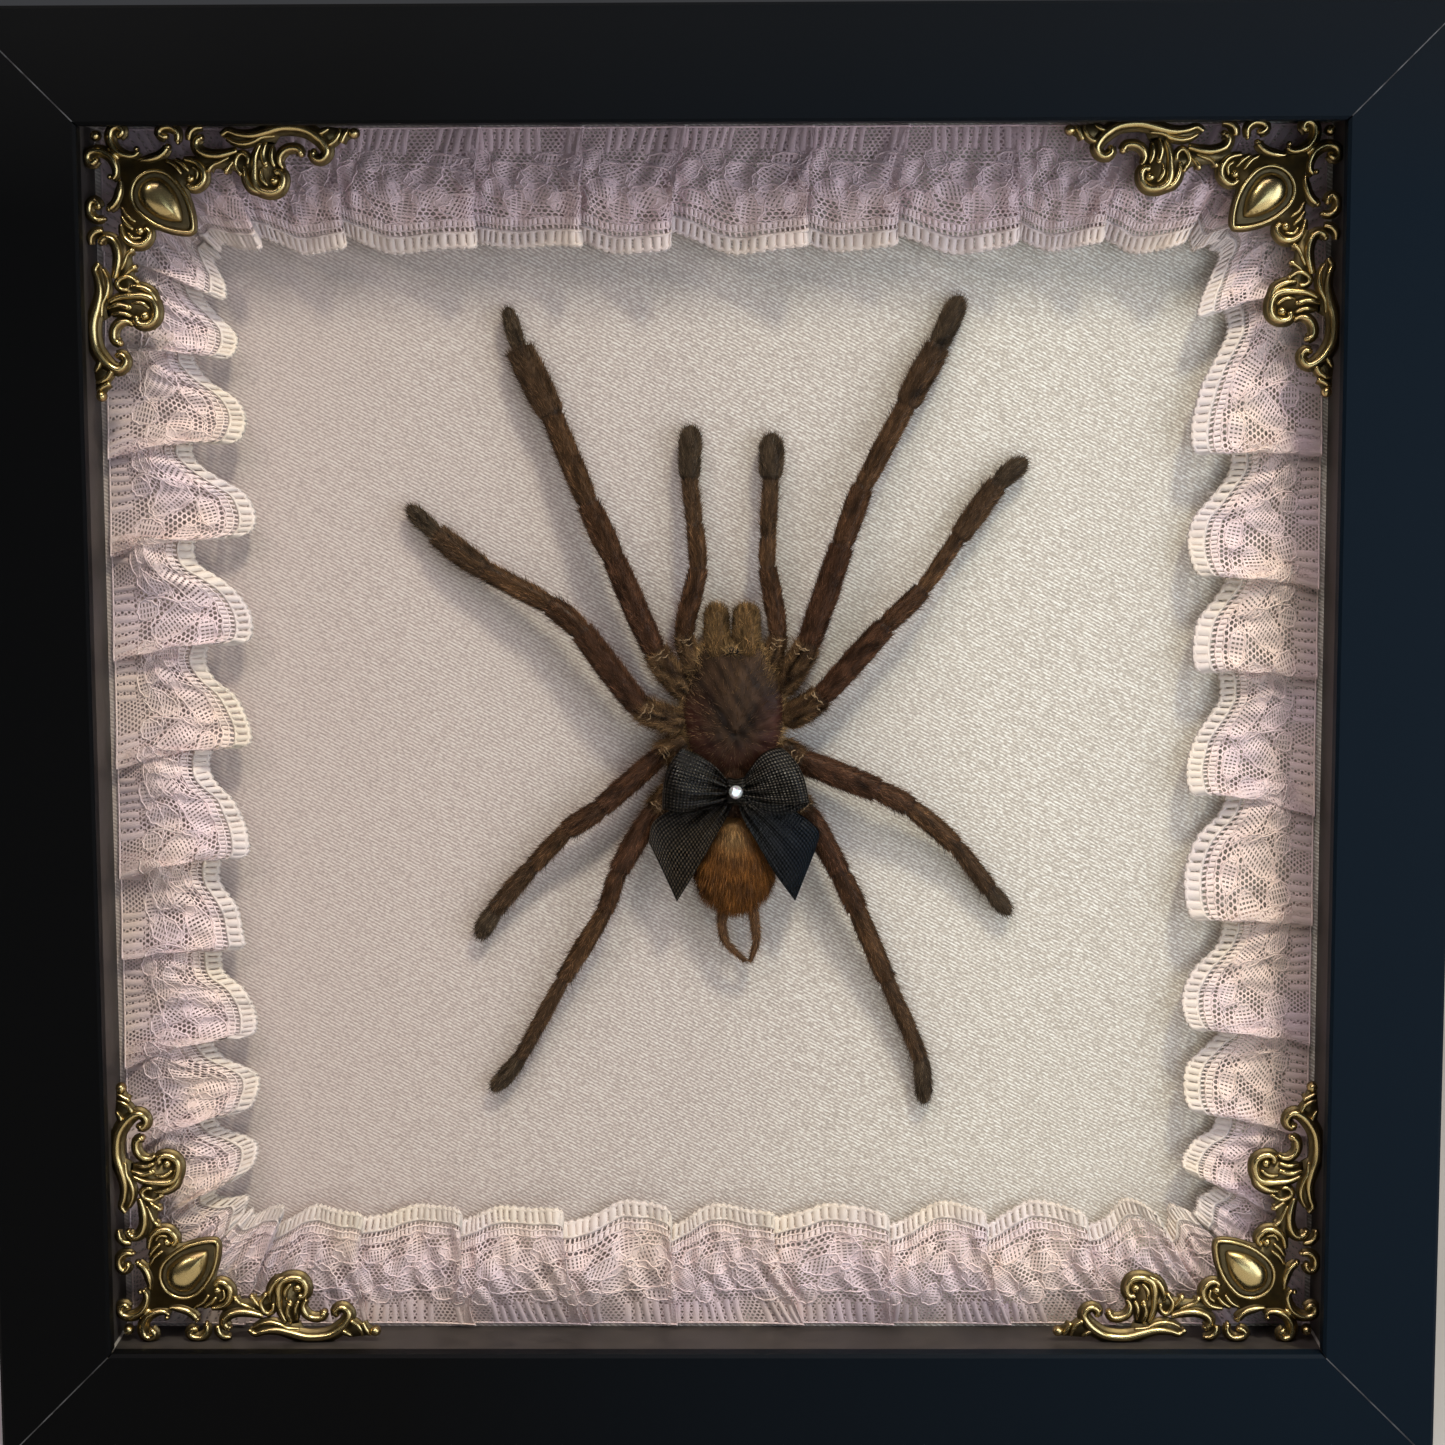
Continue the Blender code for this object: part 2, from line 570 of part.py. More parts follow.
# Each loop's outer fold, from one end to the other (x, z).
LOOPS = {"left": ((-5.2, -0.4), (-8.4, -9.4)), "right": ((11.2, -0.3), (15.4, -9.0))}
LOOP_BULGE = 1.3               # how far the middle of a fold stands out
LOOP_STATIONS = 10
LOOP_TOP = 10.6
LOOP_BOTTOM = 8.2
# Each tail's four corners (x, z, h): both sides at the knot, then both ends of the cut.
TAILS = {
    "left": ((1.9, -8.2, 8.7), (3.4, -9.4, 9.0), (-10.3, -13.2, 7.4), (-5.9, -25.4, 6.8)),
    "right": ((5.1, -8.2, 8.7), (3.6, -9.4, 9.0), (16.6, -14.0, 7.4), (12.8, -25.2, 6.8)),
}
STONE_RINGS = ((0.8, 0.0), (1.05, 0.3), (0.55, 0.85))     # radius and height of its base, girdle and table


def ribbon_sheet(name, rows, collection):
    """A strip of ribbon through rows of points, given its thickness."""
    bm = bmesh.new()
    made = [[bm.verts.new(point) for point in row] for row in rows]
    for lower, upper in zip(made, made[1:]):
        for i in range(len(lower) - 1):
            bm.faces.new((lower[i], lower[i + 1], upper[i + 1], upper[i]))
    obj = add_object(name, mesh_from(bm, name), None, collection)
    wall = obj.modifiers.new("thickness", "SOLIDIFY")
    wall.thickness = RIBBON_THICK
    wall.offset = 0.0


def loop_rows(fold):
    """A loop from the knot out over its fold and back beneath, fanning from narrow to the fold's width."""
    upper, lower = (Vector(corner) for corner in fold)
    root = Vector(KNOT[:2])
    outward = ((upper + lower) / 2 - root).normalized()
    rows = []
    for i in range(LOOP_STATIONS):
        turn = math.pi * i / (LOOP_STATIONS - 1)
        out = math.sin(turn) ** 0.7
        fold_height = (LOOP_TOP + LOOP_BOTTOM) / 2 + (LOOP_TOP - LOOP_BOTTOM) / 2 * math.cos(turn)
        height = KNOT[2] + (fold_height - KNOT[2]) * min(1.0, 2.0 * out)
        row = []
        for across in (0.0, 0.25, 0.5, 0.75, 1.0):
            pinched = root + Vector((0.0, KNOT_PINCH * (1.0 - 2.0 * across)))
            edge = upper.lerp(lower, across) + outward * LOOP_BULGE * math.sin(math.pi * across)
            place = pinched.lerp(edge, out)
            row.append(spot(place.x, place.y, height))
        rows.append(row)
    return rows


def tail_rows(corners):
    """A tail that fans out from the knot to its slanting cut."""
    start_out, start_in, end_out, end_in = (Vector(corner) for corner in corners)
    rows = []
    for along in (0.0, 0.35, 0.7, 1.0):
        lift = 0.5 * math.sin(math.pi * along)
        row = []
        for across in (0.0, 0.5, 1.0):
            place = start_out.lerp(end_out, along).lerp(start_in.lerp(end_in, along), across)
            row.append(spot(place.x, place.y, place.z + lift))
        rows.append(row)
    return rows


def bow(parts, folds):
    black = material("ribbon_black", (0.02, 0.018, 0.02), 0.5)
    knot = lump("ribbon_bow", KNOT, KNOT_RADII, plain, parts, 10, 8)
    knot.data.materials.append(black)
    for side, fold in LOOPS.items():
        ribbon_sheet("loop_" + side, loop_rows(fold), folds)
    for side, corners in TAILS.items():
        ribbon_sheet("tail_" + side, tail_rows(corners), folds)
    join(knot, folds)


def rhinestone(parts):
    """A cut stone: a flat table on a bevelled crown, standing on the knot."""
    bm = bmesh.new()
    base = KNOT[2] + KNOT_RADII[2] + GAP / MM
    rings = []
    for radius, height in STONE_RINGS:
        circle = oval(KNOT[0], KNOT[1], radius, radius)
        rings.append([bm.verts.new(spot(x, z, base + height)) for x, z in circle])
    for lower, upper in zip(rings, rings[1:]):
        for i, _ in enumerate(lower):
            j = (i + 1) % len(lower)
            bm.faces.new((lower[i], lower[j], upper[j], upper[i]))
    bm.faces.new(rings[0])
    bm.faces.new(rings[-1])
    stone = material("cut_stone", (0.9, 0.92, 0.95), 0.05)
    add_object("rhinestone", mesh_from(bm, "rhinestone"), stone, parts)


# ---------------------------------------------------------------- the whole piece

def new_collection(name, hidden=False):
    made = bpy.data.collections.new(name)
    bpy.context.scene.collection.children.link(made)
    made.hide_render = hidden
    return made


def build():
    for obj in list(bpy.data.objects):
        bpy.data.objects.remove(obj)
    parts = new_collection(PARTS)
    slots = {side: new_collection("tab_slots_" + side, True) for side in SIDES}
    nails = {side: new_collection("nail_head_" + side, True) for side in ("left", "right")}
    holes = new_collection("nail_holes", True)
    bosses = new_collection("corner_bosses", True)
    grown = new_collection("spider_pieces", True)
    folds = new_collection("ribbon_folds", True)
    case(parts, slots)
    rear(parts, holes, nails)
    lace(parts)
    brass_corners(parts, bosses)
    tarantula(parts, grown)
    bow(parts, folds)
    rhinestone(parts)
    for group in (*slots.values(), *nails.values(), holes, bosses, grown, folds):
        hide_cutters(group)


build()
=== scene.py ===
"""A dried tarantula with a ribbon bow, in a glazed shadow box lined with satin and ruffled lace.

The box stands on its bottom edge and its glass faces -Y. Places on the backing are given as
(x, z, h) in millimetres: x and z from the centre of the box, h forward from the satin.
"""

import math
import random

import bmesh
import bpy
import numpy as np
from mathutils import Matrix, Vector


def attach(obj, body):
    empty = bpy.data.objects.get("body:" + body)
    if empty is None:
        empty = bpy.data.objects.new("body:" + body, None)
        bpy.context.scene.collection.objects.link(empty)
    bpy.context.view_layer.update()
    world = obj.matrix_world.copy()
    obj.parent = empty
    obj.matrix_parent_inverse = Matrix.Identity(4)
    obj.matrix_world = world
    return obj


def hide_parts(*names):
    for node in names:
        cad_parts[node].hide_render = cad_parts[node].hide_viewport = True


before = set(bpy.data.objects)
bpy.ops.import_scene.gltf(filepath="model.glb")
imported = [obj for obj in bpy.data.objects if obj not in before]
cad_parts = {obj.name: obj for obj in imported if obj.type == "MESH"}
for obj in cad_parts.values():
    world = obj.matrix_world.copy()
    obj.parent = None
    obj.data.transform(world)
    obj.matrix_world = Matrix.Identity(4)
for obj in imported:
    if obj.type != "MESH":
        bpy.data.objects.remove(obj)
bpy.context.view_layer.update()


# ---------------------------------------------------------------- black rails
# Four lengths of wooden moulding in satin black lacquer, mitred and glued at the corners. The cut
# shows as a hair line of pale filler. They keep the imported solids.

MM = 0.001
CENTRE_Z = 0.1155                  # the middle of the box above its bottom edge
SIDES = {"top": 0, "right": 90, "bottom": 180, "left": 270}
RAIL_INNER = 97.5
RAIL_OUTER = 115.5
FRONT_Y = -15.0
LACQUER = (0.0024, 0.0027, 0.0030)
LACQUER_BLUE_REFLECTION = (0.0036, 0.0078, 0.0130)    # painted reflection: the lacquer painted blue-black, to the right
LACQUER_TOP_REFLECTION = (0.0085, 0.0090, 0.0094)     # painted reflection: the lacquer painted greyer, along the top


def new_material(name, **sockets):
    """A material with these values on its shader, and its node tree."""
    made = bpy.data.materials.new(name)
    made.use_nodes = True
    tree = made.node_tree
    for socket, value in sockets.items():
        tree.nodes["Principled BSDF"].inputs[socket.replace("_", " ")].default_value = value
    return made, tree


def node(tree, kind, sockets=(), **settings):
    """A shader node. A socket takes a value or another node's output."""
    made = tree.nodes.new("ShaderNode" + kind)
    for setting, value in settings.items():
        setattr(made, setting, value)
    for socket, value in dict(sockets).items():
        if isinstance(value, bpy.types.NodeSocket):
            tree.links.new(value, made.inputs[socket])
        else:
            made.inputs[socket].default_value = value
    return made


def ramp(tree, factor, *stops):
    """Colours or greys along a factor, given as (place, colour)."""
    made = node(tree, "ValToRGB", {"Fac": factor})
    band = made.color_ramp.elements
    while len(band) < len(stops):
        band.new(0.5)
    for element, (place, colour) in zip(band, stops):
        element.position = place
        element.color = (*colour, 1.0) if isinstance(colour, tuple) else (colour, colour, colour, 1.0)
    return made.outputs["Color"]


def speckle(tree, place, scale, detail=2.0, rough=0.5):
    """Uneven greys, the finer the larger the scale."""
    return node(tree, "TexNoise", {"Vector": place, "Scale": scale, "Detail": detail,
                                   "Roughness": rough}).outputs["Fac"]


def between(tree, value, low, high, start=0.0, end=1.0):
    """From start to end as a value goes from low to high."""
    return node(tree, "MapRange", {"Value": value, "From Min": low, "From Max": high,
                                   "To Min": start, "To Max": end}).outputs[0]


def reckon(tree, operation, *values):
    """A sum, product or sine of values in a material."""
    return node(tree, "Math", dict(enumerate(values)), operation=operation).outputs[0]


def tones(tree, share, under, over, way="MIX"):
    """Two colours mixed by a share, or multiplied, added or screened."""
    return node(tree, "Mix", {"Factor": share, 6: under, 7: over}, data_type="RGBA",
                blend_type=way).outputs[2]


def drive(tree, **sockets):
    """Links outputs to the shader's sockets."""
    for socket, output in sockets.items():
        tree.links.new(output, tree.nodes["Principled BSDF"].inputs[socket.replace("_", " ")])


def bump(tree, height, strength, distance):
    """Relief of this depth in metres."""
    made = node(tree, "Bump", {"Height": height, "Strength": strength, "Distance": distance})
    return made.outputs["Normal"]


def dress(names, surface):
    """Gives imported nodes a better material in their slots."""
    for name in names:
        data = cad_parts[name].data
        data.materials.clear()
        data.materials.append(surface)


lacquer, tree = new_material("satin_black_lacquer", Roughness=0.42, Specular_IOR_Level=0.03)
place = node(tree, "TexCoord").outputs["Object"]
grit = speckle(tree, place, 2600.0)
cloud = speckle(tree, place, 22.0, 3.0)
spot = node(tree, "SeparateXYZ", {"Vector": place}).outputs
# Painted reflections: the lacquer is painted bluer towards the right and greyer along the top.
across = between(tree, spot["X"], -0.06, 0.11)
clouded = reckon(tree, "MULTIPLY", cloud, 0.12)
across = reckon(tree, "ADD", across, clouded)
high = between(tree, spot["Z"], 0.200, 0.228, 0.0, 0.5)
tone = tones(tree, high, ramp(tree, across, (0.1, LACQUER), (1.05, LACQUER_BLUE_REFLECTION)), (*LACQUER_TOP_REFLECTION, 1.0))
drive(tree, Base_Color=tone, Roughness=ramp(tree, cloud, (0.2, 0.38), (0.8, 0.5)),
      Normal=bump(tree, grit, 0.22, 0.00004))
dress(["frame_rail_" + side for side in SIDES], lacquer)


def stand(u, v, y):
    """A point from its distances right and up from the centre of the box and its Y, in millimetres."""
    return Vector((u * MM, y * MM, CENTRE_Z + v * MM))


def add_piece(name, data, surface, stands_for=()):
    """Puts a finished mesh in the scene as a piece of the object."""
    obj = bpy.data.objects.new(name, data)
    bpy.context.scene.collection.objects.link(obj)
    if surface:
        data.materials.clear()
        data.materials.append(surface)
        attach(obj, "root")
    if stands_for:
        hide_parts(*stands_for)
    return obj


def closed_mesh(name, bm, smooth=True):
    """Turns a bmesh into a mesh with its doubles merged and its faces out."""
    bmesh.ops.remove_doubles(bm, verts=bm.verts, dist=0.00001 * MM)
    bmesh.ops.recalc_face_normals(bm, faces=bm.faces)
    data = bpy.data.meshes.new(name)
    bm.to_mesh(data)
    bm.free()
    if smooth:
        data.shade_smooth()
    return data


FILLER_WIDE, FILLER_DEEP, FILLER_SUNK = 0.17, 3.0, 0.03
FILLER_SHORT = 0.5                 # where it ends before the rails' own corners
filler, tree = new_material("mitre_filler", Roughness=0.7)
place = node(tree, "TexCoord").outputs["Object"]
streak = speckle(tree, place, 420.0, 4.0)
drive(tree, Base_Color=ramp(tree, streak, (0.40, (0.010, 0.010, 0.012)), (0.65, (0.075, 0.08, 0.085))))
bm = bmesh.new()
for across, up in ((-1, 1), (1, 1), (1, -1), (-1, -1)):
    side = Vector((up, 0.0, -across)).normalized() * FILLER_WIDE * MM / 2
    ends = [stand(across * far, up * far, 0)
            for far in (RAIL_INNER + FILLER_SHORT, RAIL_OUTER - FILLER_SHORT)]
    corners = [ends[0] - side, ends[0] + side, ends[1] + side, ends[1] - side]
    rings = [[bm.verts.new(c + Vector((0, y * MM, 0))) for c in corners]
             for y in (FRONT_Y + FILLER_SUNK, FRONT_Y + FILLER_DEEP)]
    bm.faces.new(rings[0])
    bm.faces.new(rings[1])
    for i in range(4):
        bm.faces.new((rings[0][i], rings[0][i - 1], rings[1][i - 1], rings[1][i]))
add_piece("mitre_filler", closed_mesh("mitre_filler", bm, smooth=False), filler)


# ---------------------------------------------------------------- glass pane
# One 2 mm sheet of clear float glass, laid in the rabbet behind the rails' lip. It keeps its solid.

glass, tree = new_material("float_glass", Roughness=0.03)
clear = node(tree, "BsdfTransparent", {"Color": (0.975, 0.985, 0.98, 1.0)})
shine = node(tree, "BsdfGlossy", {"Color": (0.92, 0.96, 1.0, 1.0), "Roughness": 0.02})
# Light meets both faces of the pane at the same angle, so the share mirrored goes by that angle alone.
edge = node(tree, "LayerWeight", {"Blend": 0.5}).outputs["Facing"]
mirrored = ramp(tree, edge, (0.15, 0.0), (0.45, 0.004), (0.75, 0.04), (1.0, 0.7))
mixed = node(tree, "MixShader", {"Fac": mirrored})
tree.links.new(clear.outputs["BSDF"], mixed.inputs[1])
tree.links.new(shine.outputs["BSDF"], mixed.inputs[2])
tree.links.new(mixed.outputs["Shader"], tree.nodes["Material Output"].inputs["Surface"])
dress(["glass_pane"], glass)


# ---------------------------------------------------------------- liner
# Strips wrapped in dark brown foil, standing on edge between the pane and the satin. They hold the
# two apart, and their paper shows pale where the ends meet in the corners.

liner, tree = new_material("brown_foil", Roughness=0.4, Specular_IOR_Level=0.16)
place = node(tree, "TexCoord").outputs["Object"]
grain = speckle(tree, place, 260.0, 5.0, 0.6)
drive(tree, Base_Color=ramp(tree, grain, (0.3, (0.028, 0.024, 0.022)), (0.75, (0.062, 0.052, 0.047))),
      Roughness=ramp(tree, grain, (0.2, 0.34), (0.8, 0.5)), Normal=bump(tree, grain, 0.25, 0.00006))
dress(["spacer_" + side for side in SIDES], liner)

PAPER_IN, PAPER_WIDE = 98.50, 0.32      # the bare paper's distance from the centre, and its width
PAPER_DEEP = (-10.6, 3.1)               # from the pane to the satin
paper, tree = new_material("bare_paper", Roughness=0.8)
place = node(tree, "TexCoord").outputs["Object"]
fibre = speckle(tree, place, 900.0, 3.0)
drive(tree, Base_Color=ramp(tree, fibre, (0.3, (0.16, 0.14, 0.125)), (0.75, (0.38, 0.35, 0.32))))
bm = bmesh.new()
for across, up in ((-1, 1), (1, 1), (1, -1), (-1, -1)):
    rings = [[bm.verts.new(stand(across * (PAPER_IN - u), up * (PAPER_IN - v), y))
              for u, v in ((0.0, 0.0), (PAPER_WIDE, 0.0), (0.0, PAPER_WIDE))] for y in PAPER_DEEP]
    bm.faces.new(rings[0])
    bm.faces.new(rings[1])
    for i in range(3):
        bm.faces.new((rings[0][i], rings[0][i - 1], rings[1][i - 1], rings[1][i]))
add_piece("liner_paper_edges", closed_mesh("liner_paper_edges", bm, smooth=False), paper)


# ---------------------------------------------------------------- satin and its board
# Polyester satin drawn flat over a greyboard panel. Its fine twill runs down to the right, and short bright
# dashes along it are painted highlights for the light caught by the weave's floats.

SATIN_Y = 3.4
SATIN_HALF = 101.9
SATIN_CELLS = 96
SATIN_THICK = 0.35
SATIN_BACK, SATIN_FOLD = 0.12, 0.07    # how far the cloth lies behind SATIN_Y, and its low folds
TWILL_PITCH = 0.52                 # mm
TWILL_SLOPE = -28.0                # degrees, falling to the right


def noise_field(seed, waves, low, high):
    """A smooth height over the backing: a sum of random sine waves with lengths from low to high mm."""
    picks = random.Random(seed)
    parts = []
    for _ in range(waves):
        turn = picks.uniform(0, 2 * math.pi)
        pitch = picks.uniform(low, high)
        parts.append((math.cos(turn) * 2 * math.pi / pitch, math.sin(turn) * 2 * math.pi / pitch,
                      picks.uniform(0, 2 * math.pi), pitch / high))
    whole = sum(p[3] for p in parts)
    return lambda x, z: sum(w * math.sin(a * x + b * z + c) for a, b, c, w in parts) / whole


satin, tree = new_material("cream_satin", Roughness=0.42, Sheen_Weight=0.25, Sheen_Roughness=0.35,
                           Specular_IOR_Level=0.45)
place = node(tree, "TexCoord").outputs["Object"]
turned = node(tree, "Mapping", {"Vector": place,
                                "Rotation": (0.0, math.radians(TWILL_SLOPE), 0.0)}).outputs["Vector"]
# A wave texture's own pitch is a twentieth of a turn for each unit of scale.
twill = node(tree, "TexWave", {"Vector": turned, "Scale": 0.314 / (TWILL_PITCH * MM), "Distortion": 0.6,
                               "Detail": 1.0, "Detail Scale": 2.0}, bands_direction="Z").outputs["Fac"]
floats = node(tree, "Mapping", {"Vector": turned, "Scale": (0.50, 1.0, 1.1)}).outputs["Vector"]
fleck = speckle(tree, floats, 3700.0, 1.0)
drift = speckle(tree, place, 26.0, 3.0)
# Painted light: the cloth is painted deeper and pinker at the left and lighter, with stronger glints, at the
# right, for its sheen toward the key light.
sheen_across = between(tree, node(tree, "SeparateXYZ", {"Vector": place}).outputs["X"], -0.08, 0.07)
sheen_across = reckon(tree, "ADD", sheen_across, reckon(tree, "MULTIPLY", drift, 0.25))
cloth = ramp(tree, sheen_across, (0.1, (0.635, 0.515, 0.475)), (0.6, (0.585, 0.495, 0.45)),
             (0.95, (0.645, 0.575, 0.495)))
lined = tones(tree, 0.40, cloth, ramp(tree, twill, (0.2, 0.30), (0.8, 1.0)), "MULTIPLY")
ridge = reckon(tree, "ADD", fleck, reckon(tree, "MULTIPLY", twill, 0.22))
# Painted highlights: bright dashes painted on the twill ridges, stronger to the right.
glint = ramp(tree, ridge, (0.60, 0.0), (0.88, (0.80, 0.77, 0.69)))
glint = tones(tree, 1.0, glint, ramp(tree, sheen_across, (0.2, 0.30), (1.0, 1.0)), "MULTIPLY")
grain = tones(tree, 1.0, lined, ramp(tree, fleck, (0.30, 0.80), (0.5, 1.0)), "MULTIPLY")
bright = tones(tree, 1.0, grain, glint, "SCREEN")
relief = reckon(tree, "ADD", twill, fleck)
drive(tree, Base_Color=bright, Roughness=ramp(tree, fleck, (0.4, 0.5), (0.7, 0.22)),
      Normal=bump(tree, relief, 0.35, 0.00007))

unevenness = noise_field(7, 14, 18.0, 70.0)
bm = bmesh.new()
rows = []
for j in range(SATIN_CELLS + 1):
    z = SATIN_HALF * (2 * j / SATIN_CELLS - 1)
    row = []
    for i in range(SATIN_CELLS + 1):
        x = SATIN_HALF * (2 * i / SATIN_CELLS - 1)
        row.append(bm.verts.new(stand(x, z, SATIN_Y + SATIN_BACK - SATIN_FOLD * unevenness(x, z))))
    rows.append(row)
for lower, upper in zip(rows, rows[1:]):
    for i in range(SATIN_CELLS):
        bm.faces.new((lower[i], lower[i + 1], upper[i + 1], upper[i]))
satin_cloth = add_piece("satin_cloth", closed_mesh("satin_cloth", bm), satin, ["satin_sheet"])
thickness = satin_cloth.modifiers.new("thickness", "SOLIDIFY")
thickness.thickness = SATIN_THICK * MM
thickness.offset = -1.0

greyboard, tree = new_material("greyboard", Roughness=0.9)
place = node(tree, "TexCoord").outputs["Object"]
pulp = speckle(tree, place, 700.0, 6.0, 0.7)
drive(tree, Base_Color=ramp(tree, pulp, (0.35, (0.36, 0.32, 0.27)), (0.7, (0.52, 0.47, 0.40))),
      Normal=bump(tree, pulp, 0.4, 0.00015))
dress(["backing_board"], greyboard)


# ---------------------------------------------------------------- ruffled lace
# A raschel-knit nylon trim, gathered and glued flat along the liner so that its free edge stands off
# the satin. Each thread is modelled: the tulle ground, the laid petals and their cords, and the braid.

LACE_WIDTH = 24.6                  # flat, from the heading to the braid's crest
REPEAT = 26.0                      # flat length of one scallop
STRIP_HALF = 97.7
HEADING_WIDE = 4.9
BRAID = 2.6
RIBBED_OUT, RIBBED_IN = 1.0, 2.15  # the ribbed ribbon's edges, in from the braid
SLIT_PITCH = 1.33                  # from bar to bar of the braid
COURSE_PITCH = 0.8                 # from bar to bar of the ribbed ribbon and the open course
STRAYS = 26                        # filaments that have come loose from each braid
TOP_PAINTED_SHADE = (0.78, 0.715, 0.79, 1.0)   # times the pink along the top, a painted shade
# For each side: its seed, how far from the centre the heading is glued, the reach over the satin and
# its sway, the braid's rise and how far it laps, the pleats' pitches and the way they lie.
LACE_SIDES = {
    "top": (11, 98.4, 19.8, 1.8, 7.8, 0.9, (14.0, 20.0), 1),
    "right": (23, 97.7, 19.2, 2.6, 5.8, 0.6, (15.0, 24.0), 1),
    "bottom": (35, 98.1, 20.7, 2.3, 5.6, 0.3, (14.5, 19.0), -1),
    "left": (42, 97.7, 19.7, 3.9, 5.0, 0.05, (15.0, 17.6), -1),
}
UNDER_BRASS = 7.0                  # the lace is pressed to this height beneath a corner
BRASS_REACH = 46.0
# One pleat. Share of its flat length; at the heading, how far along in pitches and in laps, and its
# rise; at the braid, how far along in pitches and in laps, its sway and its rise.
PLEAT = ((0.00, 0.00, 0.00, 0.00, 0.00, 0.00, -1.00, 0.34), (0.13, 0.17, 0.10, 0.05, 0.15, 0.00, -1.00, 0.36),
         (0.27, 0.35, 0.22, 0.08, 0.30, 0.05, -0.60, 0.42), (0.45, 0.56, 0.45, 0.15, 0.52, 0.20, 0.60, 0.55),
         (0.62, 0.78, 0.72, 0.40, 0.72, 0.50, 1.00, 0.75), (0.80, 1.00, 1.00, 0.95, 0.92, 0.90, 1.00, 1.00),
         (0.87, 1.00, 1.05, 1.00, 0.99, 0.90, 0.60, 0.97), (0.94, 1.00, 0.50, 0.60, 1.01, 0.45, -0.40, 0.66),
         (1.00, 1.00, 0.00, 0.00, 1.00, 0.00, -1.00, 0.34))


def wander(seed, low, high):
    """A smooth random function of the distance along a strip, between two values."""
    picks = random.Random(seed)
    waves = [(picks.uniform(0.04, 0.14), picks.uniform(0, 2 * math.pi)) for _ in range(4)]

    def at(p):
        swing = sum(np.sin(rate * p + start) for rate, start in waves) / 2.6
        return low + (high - low) * (0.5 + 0.5 * np.clip(swing, -1, 1))
    return at


def smooth_line(points, spacing=0.6):
    """A curve through these points, in even steps."""
    points = np.array(points, float)
    ends = np.vstack([2 * points[0] - points[1], points, 2 * points[-1] - points[-2]])
    bends = []
    for a, b, c, d in zip(ends, ends[1:], ends[2:], ends[3:]):
        t = np.linspace(0, 1, 12, endpoint=False)[:, None]
        bends.append(0.5 * (2 * b + (c - a) * t + (2 * a - 5 * b + 4 * c - d) * t ** 2
                            + (3 * b - a - 3 * c + d) * t ** 3))
    fine = np.vstack([*bends, points[-1:]])
    gone = np.concatenate([[0], np.cumsum(np.linalg.norm(np.diff(fine, axis=0), axis=1))])
    stops = np.linspace(0, gone[-1], max(2, int(gone[-1] / spacing) + 1))
    return np.stack([np.interp(stops, gone, fine[:, k]) for k in range(fine.shape[1])], -1)


def gather(seed, glued, reach, sway, rise, lapping, pitch, way):
    """How a strip falls: its flat length, and where a flat point (along, across) goes, in millimetres."""
    picks = random.Random(seed)
    pitches = []
    while sum(pitches) < 2 * STRIP_HALF - 8:
        pitches.append(picks.uniform(*pitch))
    pitches = np.array(pitches) * 2 * STRIP_HALF / sum(pitches)
    laps = np.array([picks.uniform(0.14, 0.26) for _ in pitches]) * pitches
    laps[[0, -1]] *= 0.4
    plan = np.concatenate([[0], np.cumsum(pitches)])
    flat = np.concatenate([[0], np.cumsum(pitches + 2.05 * laps)])
    pleat = smooth_line(PLEAT, 0.02)
    swaying, rising = wander(seed + 1, 0.6, 1.15), wander(seed + 2, 0.8, 1.1)
    leaning, billow = wander(seed + 3, -1.6, 1.6), wander(seed + 4, 0.15, 0.5)

    def at(s, t):
        w = np.clip(t / LACE_WIDTH, 0, 1.06)
        number = np.clip(np.searchsorted(flat, s, side="right") - 1, 0, len(pitches) - 1)
        share = np.clip((s - flat[number]) / (flat[number + 1] - flat[number]), 0, 1)
        pitched, lapped, low, far, under, outward, high = (np.interp(share, pleat[:, 0], pleat[:, k])
                                                           for k in range(1, 8))
        heading = plan[number] + pitched * pitches[number] + lapped * laps[number]
        braid = plan[number] + far * pitches[number] + lapping * under * laps[number] + leaning(s)
        calm = np.clip(np.minimum(heading, 2 * STRIP_HALF - heading) / 14.0, 0.1, 1)
        edge = reach + sway * calm * swaying(s) * outward
        x = heading + (braid - heading) * w * (2 - w) - STRIP_HALF
        x = x + 0.25 * np.sin(0.83 * s + 0.4 * t) * np.sin(0.31 * t - 0.17 * s + seed)
        squeeze = np.clip(w / 0.86, 0, 1)
        out = t - (LACE_WIDTH - edge) * squeeze ** 2 * (3 - 2 * squeeze)
        x = x * (1 - (0.4 + 0.985 * out) / STRIP_HALF * np.abs(np.clip(x / STRIP_HALF, -1, 1)) ** 3)
        base = 0.6 + 1.3 * low * calm
        top = rise * rising(s) * (0.62 + (high - 0.62) * calm)
        slack = np.clip(LACE_WIDTH - edge, 0.2, 9)
        belly = billow(s) * np.sqrt(0.375 * edge * slack)
        height = base + (top - base) * w + belly * 4 * w * np.clip(1 - w, 0, 1)
        height = height + 0.22 * np.sin(0.9 * s - 0.6 * t + seed) * np.sin(0.5 * t + 0.23 * s) * w
        crumple = np.sin(1.7 * s + 1.3 * np.sin(0.35 * t + seed)) + np.sin(1.1 * s + 0.45 * t + 2 * seed)
        height = height + 0.19 * crumple * np.clip(3 * w, 0, 1) * np.clip(4 * (1 - w), 0, 1)
        to_corner = STRIP_HALF - np.abs(x)
        roof = UNDER_BRASS + 0.55 * np.maximum(np.maximum(out - 11.5, to_corner - BRASS_REACH), 0)
        roof = np.minimum(roof, 11.6)
        height = roof - 0.35 * np.logaddexp(0, (roof - height) / 0.35)
        height = 0.45 + 0.25 * np.logaddexp(0, (height - 0.45) / 0.25)
        return np.stack([way * x, glued - out, height], -1)
    return flat[-1], at


def edge_of(s):
    """The braid's outer edge, scalloped, across from the heading."""
    return LACE_WIDTH - 0.9 + 0.9 * np.cos(2 * math.pi * s / REPEAT)


